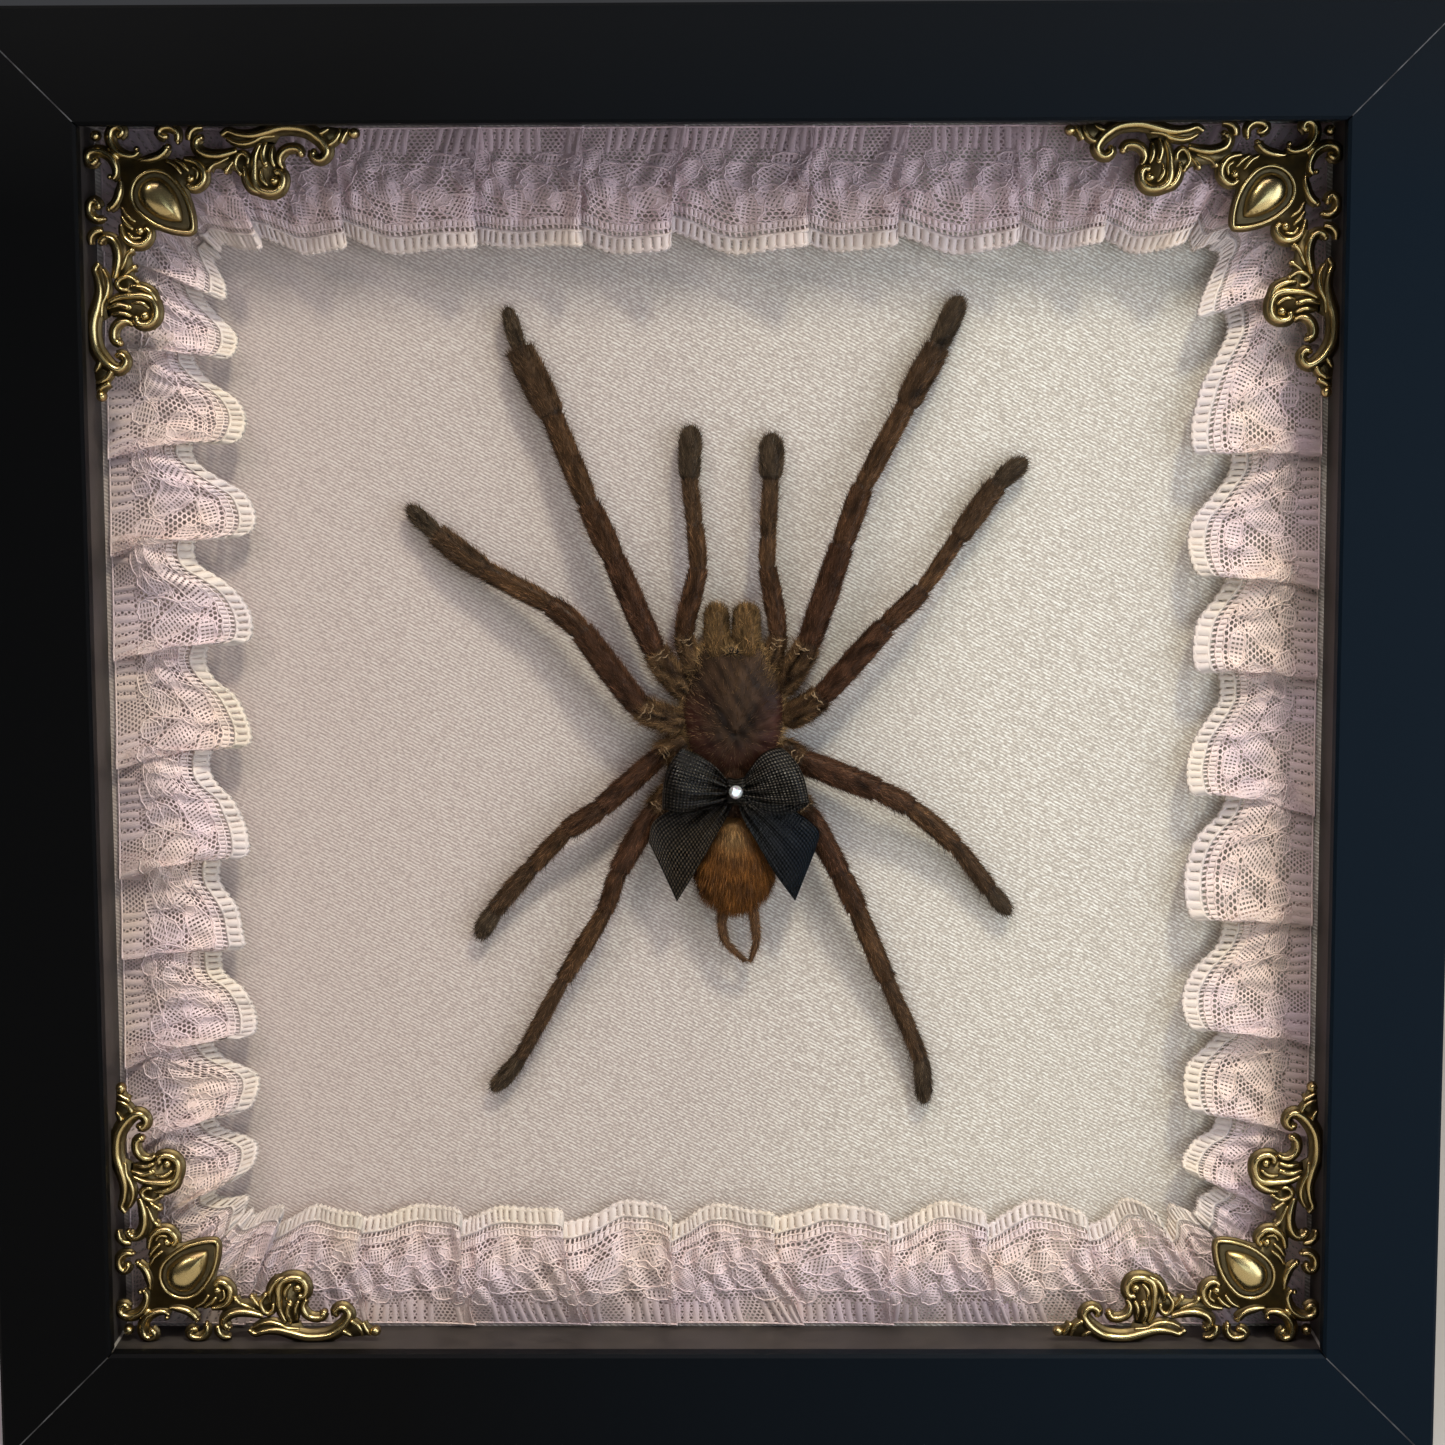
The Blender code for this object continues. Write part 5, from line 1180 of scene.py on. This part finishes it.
def hair_tree():
    """Grows tapered hairs on a skin where one of its attributes says, lying the way of its lay."""
    tree = bpy.data.node_groups.new("hair_growth", "GeometryNodeTree")
    tree.interface.new_socket("Skin", in_out="INPUT", socket_type="NodeSocketGeometry")
    for name, kind in (("Growth", "String"), ("Hairs per square metre", "Float"), ("Length", "Float"),
                       ("Root radius", "Float"), ("Lift", "Float"), ("Stray", "Float"), ("Bends", "Int"),
                       ("Droop", "Float"), ("Seed", "Int"), ("Surface", "Material")):
        tree.interface.new_socket(name, in_out="INPUT", socket_type="NodeSocket" + kind)
    tree.interface.new_socket("Hair", in_out="OUTPUT", socket_type="NodeSocketGeometry")

    def add(kind, sockets=(), **settings):
        made = tree.nodes.new(kind)
        for setting, value in settings.items():
            setattr(made, setting, value)
        for socket, value in dict(sockets).items():
            if isinstance(value, bpy.types.NodeSocket):
                tree.links.new(value, made.inputs[socket])
            else:
                made.inputs[socket].default_value = value
        return made

    def named(name, kind):
        return add("GeometryNodeInputNamedAttribute", {"Name": name}, data_type=kind).outputs["Attribute"]

    def product(one, other):
        return add("ShaderNodeMath", {0: one, 1: other}, operation="MULTIPLY").outputs[0]

    def scaled(vector, amount):
        return add("ShaderNodeVectorMath", {0: vector, "Scale": amount}, operation="SCALE").outputs[0]

    def added(one, other):
        return add("ShaderNodeVectorMath", {0: one, 1: other}, operation="ADD").outputs[0]

    given = add("NodeGroupInput").outputs
    density = product(named(given["Growth"], "FLOAT"), given["Hairs per square metre"])
    roots = add("GeometryNodeDistributePointsOnFaces",
                {"Mesh": given["Skin"], "Density": density, "Seed": given["Seed"]},
                distribute_method="RANDOM")
    lifted = scaled(roots.outputs["Normal"], given["Lift"])
    shaken = add("FunctionNodeRandomValue", {"Min": (-1, -1, -1), "Max": (1, 1, 1), "Seed": given["Seed"]},
                 data_type="FLOAT_VECTOR").outputs["Value"]
    way = added(added(named("lay", "FLOAT_VECTOR"), lifted), scaled(shaken, given["Stray"]))
    spin = add("FunctionNodeAlignRotationToVector", {"Vector": roots.outputs["Normal"]}, axis="X").outputs[0]
    spin = add("FunctionNodeAlignRotationToVector", {"Rotation": spin, "Vector": way}, axis="Z").outputs[0]
    blade = add("GeometryNodeMeshCone",
                {"Vertices": 3, "Side Segments": given["Bends"], "Radius Top": 0.0, "Radius Bottom": 1.0,
                 "Depth": 1.0}, fill_type="NONE").outputs["Mesh"]
    spot = add("GeometryNodeInputPosition").outputs[0]
    high = add("ShaderNodeSeparateXYZ", {0: spot}).outputs["Z"]
    bend = add("ShaderNodeCombineXYZ", {"X": product(product(high, high), given["Droop"])}).outputs[0]
    blade = add("GeometryNodeSetPosition", {"Geometry": blade, "Offset": bend}).outputs[0]
    grown = add("FunctionNodeRandomValue", {2: 0.55, 3: 1.15, "Seed": given["Seed"]},
                data_type="FLOAT").outputs[1]
    size = add("ShaderNodeCombineXYZ", {"X": given["Root radius"], "Y": given["Root radius"],
                                        "Z": product(grown, given["Length"])}).outputs[0]
    hairs = add("GeometryNodeInstanceOnPoints", {"Points": roots.outputs["Points"], "Instance": blade,
                                                 "Rotation": spin, "Scale": size}).outputs[0]
    tone = add("FunctionNodeRandomValue", {2: 0.0, 3: 1.0, "Seed": 5}, data_type="FLOAT").outputs[1]
    hairs = add("GeometryNodeStoreNamedAttribute", {"Geometry": hairs, "Name": "strand", "Value": tone},
                data_type="FLOAT", domain="INSTANCE").outputs[0]
    real = add("GeometryNodeRealizeInstances", {"Geometry": hairs}).outputs[0]
    dressed = add("GeometryNodeSetMaterial", {"Geometry": real, "Material": given["Surface"]}).outputs[0]
    add("NodeGroupOutput", {"Hair": dressed})
    return tree


# For each: where it grows, hairs per square millimetre, length, root radius, lift, stray, bends,
# droop and seed.
COATS = {
    "short_coat": ("fur", 14.0, 0.98, 0.046, 0.36, 0.36, 1, 0.0, 3),
    "golden_hair": ("gold", 10.0, 1.8, 0.034, 0.75, 1.05, 2, 3.0, 4),
    "abdomen_fur": ("rust", 24.0, 1.5, 0.042, 0.45, 0.36, 2, 3.0, 5),
    "bristles": ("bristle", 3.6, 1.9, 0.028, 0.9, 0.5, 2, 2.0, 6),
    "long_wisps": ("wisp", 0.9, 3.6, 0.030, 0.45, 0.7, 2, 2.0, 8),
}
growing = hair_tree()
sockets = {item.name: item.identifier for item in growing.interface.items_tree if item.in_out == "INPUT"}
for name, (growth, thick, length, root, lift, stray, bends, droop, seed) in COATS.items():
    grown = skin.modifiers.new(name, "NODES")
    grown.node_group = growing
    for socket, value in (("Growth", growth), ("Hairs per square metre", thick * 1e6),
                          ("Length", length * MM), ("Root radius", root * MM), ("Lift", lift),
                          ("Stray", stray), ("Bends", bends), ("Droop", droop), ("Seed", seed),
                          ("Surface", hair)):
        grown[sockets[socket]] = value
    skin.update_tag()
    bpy.context.view_layer.update()
    data = bpy.data.meshes.new_from_object(skin.evaluated_get(bpy.context.evaluated_depsgraph_get()))
    skin.modifiers.remove(grown)
    add_piece(name, data, hair)


# A few long dark spines stand at the joints of the legs.
SPINE_LONG, SPINE_ROOT = 1.7, 0.085
spine_horn, tree = new_material("spine_horn", Roughness=0.3, Specular_IOR_Level=0.5)
place = node(tree, "TexCoord").outputs["Object"]
grain = speckle(tree, place, 1500.0)
drive(tree, Base_Color=ramp(tree, grain, (0.3, (0.008, 0.006, 0.005)), (0.8, (0.03, 0.018, 0.012))))
thorns = Hide()
for root, way in spines:
    way = way / np.linalg.norm(way)
    t = np.linspace(0, 1, 5)[:, None]
    path = root - 0.1 * way + SPINE_LONG * (t * way + 0.12 * t ** 2 * np.array((0.0, 0.0, 1.0)))
    grid, ahead, outward = round_tube(path, SPINE_ROOT * (1.06 - t[:, 0]), SPINE_ROOT * (1.06 - t[:, 0]), 6)
    thorns.patch(grid, ahead, GOLD, GOLD)
add_piece("leg_spines", thorns.mesh("leg_spines"), spine_horn)


# ---------------------------------------------------------------- ribbon bow
# Black woven ribbon 10 mm wide: a length folded into two tails, a length looped over it, and a short
# band pinched round both. It is glued on the spider's waist.

RIBBON_WIDE = 10.0
RIBBON_THICK = 0.16
WEAVE_PITCH = 0.76
GLINTS_FROM = (0.0108, 0.0, 0.1103)    # the proudest place of the right loop, where the painted glints are brightest
black_ribbon, tree = new_material("black_ribbon", Roughness=0.3, Specular_IOR_Level=0.13)
flat = node(tree, "UVMap", uv_map="weave").outputs["UV"]
across = node(tree, "Mapping", {"Vector": flat, "Rotation": (0, 0, math.radians(45)),
                                "Scale": (2 * math.pi / WEAVE_PITCH,) * 3}).outputs["Vector"]
parts = node(tree, "SeparateXYZ", {"Vector": across}).outputs
warp = reckon(tree, "SINE", parts["X"])
weft = reckon(tree, "SINE", parts["Y"])
checks = between(tree, reckon(tree, "MULTIPLY", warp, weft), -1.0, 1.0)
place = node(tree, "TexCoord").outputs["Object"]
fade = speckle(tree, place, 190.0)
# Painted light on the ribbon. The black is painted brown on the left tail and navy on the right one, a
# painted sheen and a painted blue reflection.
spot = node(tree, "SeparateXYZ", {"Vector": place}).outputs
runs = node(tree, "Mapping", {"Vector": flat, "Scale": (1.9, 0.55, 1.0)}).outputs["Vector"]
# Painted sheen: runs of threads along the ribbon are painted brighter than others.
wear_and_sheen = ramp(tree, speckle(tree, runs, 1.5, 3.0, 0.6), (0.42, 0.42), (0.56, 0.85), (0.70, 1.0))
lines = node(tree, "Mapping", {"Vector": runs, "Rotation": (0, 0, math.radians(52)),
                               "Scale": (0.7, 6.0, 1.0)}).outputs["Vector"]
lines = reckon(tree, "MULTIPLY", speckle(tree, lines, 1.0), checks)
right = between(tree, spot["X"], 0.0030, 0.0060)
outer = between(tree, spot["X"], 0.0080, 0.0140)
low = between(tree, spot["Z"], 0.1062, 0.1040)
# Painted shadow: the tails are painted darker where they run up under the loops.
painted_shadow_under_loops = between(tree, spot["Z"], 0.1050, 0.1015, 0.3, 1.0)
# Painted light: the right loop is painted lighter than the left, lit and shaded copies of one black.
shaded_left_loop = ramp(tree, checks, (0.5, (0.0002, 0.0002, 0.0001)), (0.95, (0.030, 0.022, 0.015)))
lit_right_loop = ramp(tree, checks, (0.5, (0.0003, 0.0003, 0.0002)), (0.95, (0.095, 0.080, 0.063)))
brown = ramp(tree, checks, (0.4, (0.0012, 0.0009, 0.0006)), (0.95, (0.100, 0.075, 0.051)))
black = ramp(tree, checks, (0.5, (0.0001, 0.0001, 0.0001)), (0.95, (0.018, 0.018, 0.018)))
navy_reflection = ramp(tree, checks, (0.5, (0.0001, 0.0003, 0.0006)), (0.95, (0.0010, 0.0110, 0.0270)))
loops = tones(tree, right, shaded_left_loop, lit_right_loop)
tails = tones(tree, outer, tones(tree, right, brown, black), navy_reflection)
tails = tones(tree, painted_shadow_under_loops, (0.0004, 0.0003, 0.0004, 1.0), tails)
# Painted highlights: glints painted on the loops, brightest round the right loop's proudest place.
proud = node(tree, "VectorMath", {0: place, 1: GLINTS_FROM}, operation="SUBTRACT").outputs[0]
proud = node(tree, "VectorMath", {0: proud, 1: (1.0, 0.0, 1.35)}, operation="MULTIPLY").outputs[0]
proud = node(tree, "VectorMath", {0: proud}, operation="LENGTH").outputs["Value"]
proud = between(tree, proud, 0.0015, 0.0058, 1.0, 0.1)
left_glints = ramp(tree, lines, (0.50, 0.0), (0.64, (0.15, 0.14, 0.12)))
right_glints = ramp(tree, lines, (0.42, 0.0), (0.64, (0.30, 0.285, 0.25)))
right_glints = tones(tree, proud, (0.0, 0.0, 0.0, 1.0), right_glints)
loops = tones(tree, 1.0, loops, tones(tree, right, left_glints, right_glints), "ADD")
thread = tones(tree, 1.0, tones(tree, low, loops, tails), wear_and_sheen, "MULTIPLY")
drive(tree, Base_Color=thread, Roughness=ramp(tree, fade, (0.3, 0.24), (0.7, 0.38)),
      Normal=bump(tree, checks, 0.8, 0.00012))


def ribbon_grid(edge_a, edge_b, rows=48, columns=22):
    """Rows of points from one edge curve to the other, as (rows along, columns across, 2)."""
    curves = []
    for edge in (edge_a, edge_b):
        line = smooth_line(edge, 0.15)
        steps = np.linspace(0, len(line) - 1, rows)
        curves.append(np.stack([np.interp(steps, np.arange(len(line)), line[:, k]) for k in range(2)], -1))
    q = np.linspace(0, 1, columns)[None, :, None]
    return curves[0][:, None] * (1 - q) + curves[1][:, None] * q


def ribbon_piece(name, sheets):
    """Makes one sheet of ribbon from its grids of (x, z, h)."""
    points, faces, uvs, count = [], [], [], 0
    for grid in sheets:
        rows, columns = grid.shape[:2]
        index = count + np.arange(rows * columns).reshape(rows, columns)
        faces += quads(index[:, :-1], index[:, 1:])
        points.append(placed(grid).reshape(-1, 3))
        gone = np.concatenate([[0], np.cumsum(np.linalg.norm(np.diff(grid.mean(1), axis=0), axis=1))])
        uv = np.stack(np.broadcast_arrays(np.linspace(0, RIBBON_WIDE, columns)[None], gone[:, None]), -1)
        uvs.append(uv.reshape(-1, 2))
        count += rows * columns
    data = bpy.data.meshes.new(name)
    data.from_pydata(np.concatenate(points).tolist(), [], faces)
    flat = np.concatenate(uvs)
    corner = np.zeros(len(data.loops), np.int32)
    data.loops.foreach_get("vertex_index", corner)
    data.uv_layers.new(name="weave").data.foreach_set("uv", flat[corner].ravel())
    data.shade_smooth()
    made = add_piece(name, data, black_ribbon)
    thick = made.modifiers.new("thickness", "SOLIDIFY")
    thick.thickness = RIBBON_THICK * MM
    thick.offset = 0.0
    return made


# The tails: inner edge, outer edge, and the height of each along them.
TAILS = {
    "left": ([(3.0, -7.4), (2.5, -10.3), (-0.4, -15.6), (-3.5, -21.2), (-6.1, -25.6)],
             [(2.4, -7.0), (-2.4, -8.6), (-7.0, -10.6), (-9.9, -12.6), (-10.6, -15.7)], -0.5),
    "right": ([(3.9, -7.4), (4.4, -11.0), (7.0, -15.8), (9.8, -20.8), (13.0, -25.5)],
              [(4.6, -7.0), (9.3, -8.8), (13.8, -11.2), (16.8, -14.0), (16.3, -16.9)], 0.7),
}
sheets = []
for side, (inner, outer, curl) in TAILS.items():
    flat = ribbon_grid(inner, outer)
    t, q = np.linspace(0, 1, flat.shape[0])[:, None], np.linspace(0, 1, flat.shape[1])[None]
    h = (1 - q) * np.interp(t, (0, 0.25, 0.55, 0.8, 1), (8.5, 9.05, 8.95, 8.3, 7.1)) \
        + q * np.interp(t, (0, 0.3, 0.6, 1), (8.4, 8.15, 7.75, 7.6))
    h = h + curl * np.sin(math.pi * q) * np.clip(t * 1.5 - 0.3, 0, 1) * 0.7 + 0.25 * np.sin(5 * t + 2 * q)
    h = h + 0.55 * (1 - t) ** 2 * np.cos(2 * math.pi * 3.5 * q + 1.0)
    sheets.append(np.concatenate([flat, h[..., None]], -1)[:, ::1 if side == "left" else -1])
ribbon_piece("bow_tails", sheets)

# The loops: upper and lower edge of the front layer, the back layer's lower edge, from the knot out.
LOOPS = {
    "left": ([(2.5, -5.9), (0.2, -3.3), (-2.3, -1.5), (-4.9, -0.3)],
             [(2.5, -8.5), (0.2, -9.4), (-4.0, -10.4), (-8.2, -9.9)],
             [(2.5, -8.8), (0.2, -9.8), (-4.2, -10.9), (-8.3, -10.2)], -1.35),
    "right": ([(4.5, -5.6), (7.0, -2.0), (8.8, -0.7), (10.7, -0.2)],
              [(4.5, -8.1), (7.0, -8.7), (10.7, -9.2), (15.3, -8.8)],
              [(4.5, -8.6), (7.0, -10.6), (10.7, -11.6), (14.9, -9.8)], 1.35),
}
LOOP_MIDDLE, LOOP_PUFF, LOOP_ARCH, LOOP_TILT = 9.45, 0.75, 1.5, 3.0
sheets = []
for side, (upper, lower, back, bulge) in LOOPS.items():
    rows, columns = 96, 30
    front = ribbon_grid(upper, lower, 200, columns)
    behind = ribbon_grid(upper, back, 200, columns)
    phase = np.linspace(0, 1, rows)
    away = np.sin(math.pi * phase) ** 0.85
    pick = np.clip((away * 199).round().astype(int), 0, 199)
    turned = np.clip((phase - 0.44) / 0.12, 0, 1)[:, None, None]
    flat = front[pick] * (1 - turned) + behind[pick] * turned
    q, a, p = np.linspace(0, 1, columns)[None], away[:, None], phase[:, None]
    flat[..., 0] += bulge * np.sin(math.pi * q ** 0.75) * a ** 2
    arch = np.where(p < 0.5, LOOP_ARCH, 0.25) * np.sin(math.pi * q ** 0.85)
    h = LOOP_MIDDLE - 0.5 * (1 - a) + (LOOP_PUFF + arch) * np.sin(2 * math.pi * p) * (0.75 + 0.25 * a)
    h = h + LOOP_TILT * (q - 0.45) * a * np.clip(np.sin(2 * math.pi * p), 0, 1)
    crease = np.cos(2 * math.pi * 3.4 * q ** 1.3 + 0.8 + 0.7 * np.sin(5 * q)) * (1 - a) ** 2 * 0.85
    crease = crease + 0.30 * np.cos(2 * math.pi * 1.1 * q + 2.6 + bulge) * (1 - a) * a * 2.4
    h = h + crease * np.where(p < 0.5, 1, -0.6)
    sheets.append(np.concatenate([flat, h[..., None]], -1)[:, ::-1 if side == "left" else 1])
bow_loops = ribbon_piece("bow_loops", sheets)
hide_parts("ribbon_bow")

# The band, pinched round the middle.
KNOT = (3.5, -7.4, 8.95)
t, q = np.linspace(0, 1, 60)[:, None], np.linspace(-1, 1, 16)[None]
turn = 2 * math.pi * t
waist = 0.8 + 0.5 * np.abs(q) ** 2.2
x = KNOT[0] + waist * q * (1.0 + 0.12 * np.cos(turn))
z = KNOT[1] + (2.05 + 0.3 * q ** 2) * np.sin(turn) + 0 * q
h = KNOT[2] + (1.5 + 0.12 * np.cos(2 * math.pi * 2.5 * q)) * np.cos(turn) - 0.35 * q ** 2 * np.cos(turn)
ribbon_piece("bow_knot", [np.stack(np.broadcast_arrays(x, z, h), -1)])


# ---------------------------------------------------------------- rhinestone
# A round foil-backed stone of 2.1 mm, cut with eight facets round its table, glued on the band.

STONE_AT = (KNOT[0], KNOT[1] + 0.2)
STONE_ROUND = 1.1
STONE_FOOT = 10.62
cut_stone, tree = new_material("cut_stone", Roughness=0.08, Specular_IOR_Level=0.8, Coat_Weight=1.0,
                               Coat_Roughness=0.03, Metallic=0.6)
place = node(tree, "TexCoord").outputs["Object"]
# Coloured flecks painted into the stone stand for the fire of its facets, a painted reflection.
painted_fire = node(tree, "TexVoronoi", {"Vector": place, "Scale": 1900.0}).outputs["Color"]
drive(tree, Base_Color=tones(tree, 0.18, (0.80, 0.80, 0.84, 1.0), painted_fire))
bm = bmesh.new()
rings = []
for wide, high, count, shift in ((0.97, 0.0, 16, 0.0), (1.0, 0.16, 16, 0.0), (0.82, 0.50, 8, 0.5),
                                 (0.55, 0.74, 8, 0.0)):
    turns = [2 * math.pi * (i + shift) / count for i in range(count)]
    rings.append([bm.verts.new(stand(STONE_AT[0] + STONE_ROUND * wide * math.cos(turn),
                                     STONE_AT[1] + STONE_ROUND * wide * math.sin(turn),
                                     SATIN_Y - STONE_FOOT - high)) for turn in turns])
bm.faces.new(rings[0])
for i in range(16):
    bm.faces.new((rings[0][i - 1], rings[0][i], rings[1][i], rings[1][i - 1]))
for i in range(8):
    a, b, c = rings[1][2 * i], rings[1][2 * i + 1], rings[1][(2 * i + 2) % 16]
    crown, after = rings[2][i], rings[2][(i + 1) % 8]
    bm.faces.new((a, b, crown))
    bm.faces.new((b, c, crown))
    bm.faces.new((crown, c, after))
    bm.faces.new((rings[3][i], crown, rings[3][(i + 1) % 8]))
    bm.faces.new((crown, after, rings[3][(i + 1) % 8]))
bm.faces.new(rings[3])
add_piece("rhinestone_cut", closed_mesh("rhinestone_cut", bm, smooth=False), cut_stone,
          ["rhinestone"])


# ---------------------------------------------------------------- rear panel, tabs and hanger
# A hardboard panel held by eight bent steel tabs, with a sawtooth hanger nailed near the top. They
# keep their solids.

hardboard, tree = new_material("hardboard", Roughness=0.62)
place = node(tree, "TexCoord").outputs["Object"]
fibre = node(tree, "Mapping", {"Vector": place, "Scale": (1.0, 1.0, 0.35)}).outputs["Vector"]
pulp = speckle(tree, fibre, 900.0, 6.0, 0.7)
stain = speckle(tree, place, 14.0, 3.0)
pressed = ramp(tree, pulp, (0.35, (0.10, 0.055, 0.028)), (0.7, (0.24, 0.145, 0.08)))
stained = ramp(tree, stain, (0.3, (0.12, 0.07, 0.035)), (0.7, (0.22, 0.13, 0.07)))
drive(tree, Base_Color=tones(tree, 0.45, pressed, stained), Normal=bump(tree, pulp, 0.3, 0.0001))
dress(["rear_panel"], hardboard)

steel, tree = new_material("zinc_plate", Metallic=1.0, Roughness=0.36)
place = node(tree, "TexCoord").outputs["Object"]
drawn = node(tree, "Mapping", {"Vector": place, "Scale": (1.0, 1.0, 14.0)}).outputs["Vector"]
scratch = speckle(tree, drawn, 260.0, 4.0)
drive(tree, Base_Color=ramp(tree, scratch, (0.3, (0.42, 0.42, 0.43)), (0.7, (0.66, 0.66, 0.65))),
      Roughness=ramp(tree, scratch, (0.3, 0.28), (0.7, 0.46)), Normal=bump(tree, scratch, 0.2, 0.00003))
dress(["sawtooth_hanger", "hanger_nail_left", "hanger_nail_right"]
      + [f"retaining_tab_{number}" for number in range(1, 9)], steel)


# ---------------------------------------------------------------- floor, lights and camera
# A pale table top, five soft lamps in front of the box, and the camera where the photograph was
# taken from.

floor_paint, tree = new_material("pale_floor", Roughness=0.8)
place = node(tree, "TexCoord").outputs["Object"]
clouds = speckle(tree, place, 6.0, 4.0)
drive(tree, Base_Color=ramp(tree, clouds, (0.3, (0.56, 0.55, 0.53)), (0.7, (0.62, 0.61, 0.59))))
bm = bmesh.new()
bmesh.ops.create_circle(bm, cap_ends=True, segments=96, radius=0.6)
floor = bpy.data.objects.new("floor", closed_mesh("floor", bm, smooth=False))
floor.data.materials.append(floor_paint)
bpy.context.scene.collection.objects.link(floor)

LAMPS = {                          # direction from the box, distance, disc, watts, colour
    "key": ((0.50, -1.0, 1.60), 2.0, 0.28, 26.0, (1.0, 0.925, 0.755)),
    "second": ((-0.75, -1.0, 0.80), 2.0, 0.30, 5.0, (1.0, 0.90, 0.80)),
    "near_right": ((1.3, -1.0, 0.1), 0.42, 0.35, 1.1, (0.83, 0.87, 1.0)),
    "soft_top": ((-0.25, -0.8, 1.3), 1.4, 0.9, 8.0, (1.0, 0.855, 0.935)),
    "soft_front": ((0.2, -1.0, -0.14), 1.3, 0.6, 1.8, (0.72, 0.86, 1.0)),
}
for name, (direction, distance, disc, watts, colour) in LAMPS.items():
    lamp = bpy.data.lights.new(name, "AREA")
    lamp.shape = "DISK"
    lamp.size = disc
    lamp.energy = watts
    lamp.color = colour
    holder = bpy.data.objects.new(name, lamp)
    bpy.context.scene.collection.objects.link(holder)
    aim = Vector(direction).normalized()
    holder.location = Vector((0.0, 0.0, CENTRE_Z)) + aim * distance
    holder.rotation_euler = aim.to_track_quat("Z", "Y").to_euler()
room = bpy.data.worlds.new("soft_room")
room.use_nodes = True
sky = room.node_tree.nodes["Background"].inputs
sky["Color"].default_value = (0.90, 0.92, 1.0, 1.0)
sky["Strength"].default_value = 0.05
bpy.context.scene.world = room
bpy.context.scene.view_settings.view_transform = "Standard"

camera = bpy.data.objects.new("camera", bpy.data.cameras.new("camera"))
camera.data.sensor_width = 36.0
camera.data.lens = 74.74
camera.location = (0.00699, -0.48162, 0.17637)
camera.rotation_euler = [math.radians(angle) for angle in (83.166, 0.205, 0.649)]
bpy.context.scene.collection.objects.link(camera)
bpy.context.scene.camera = camera
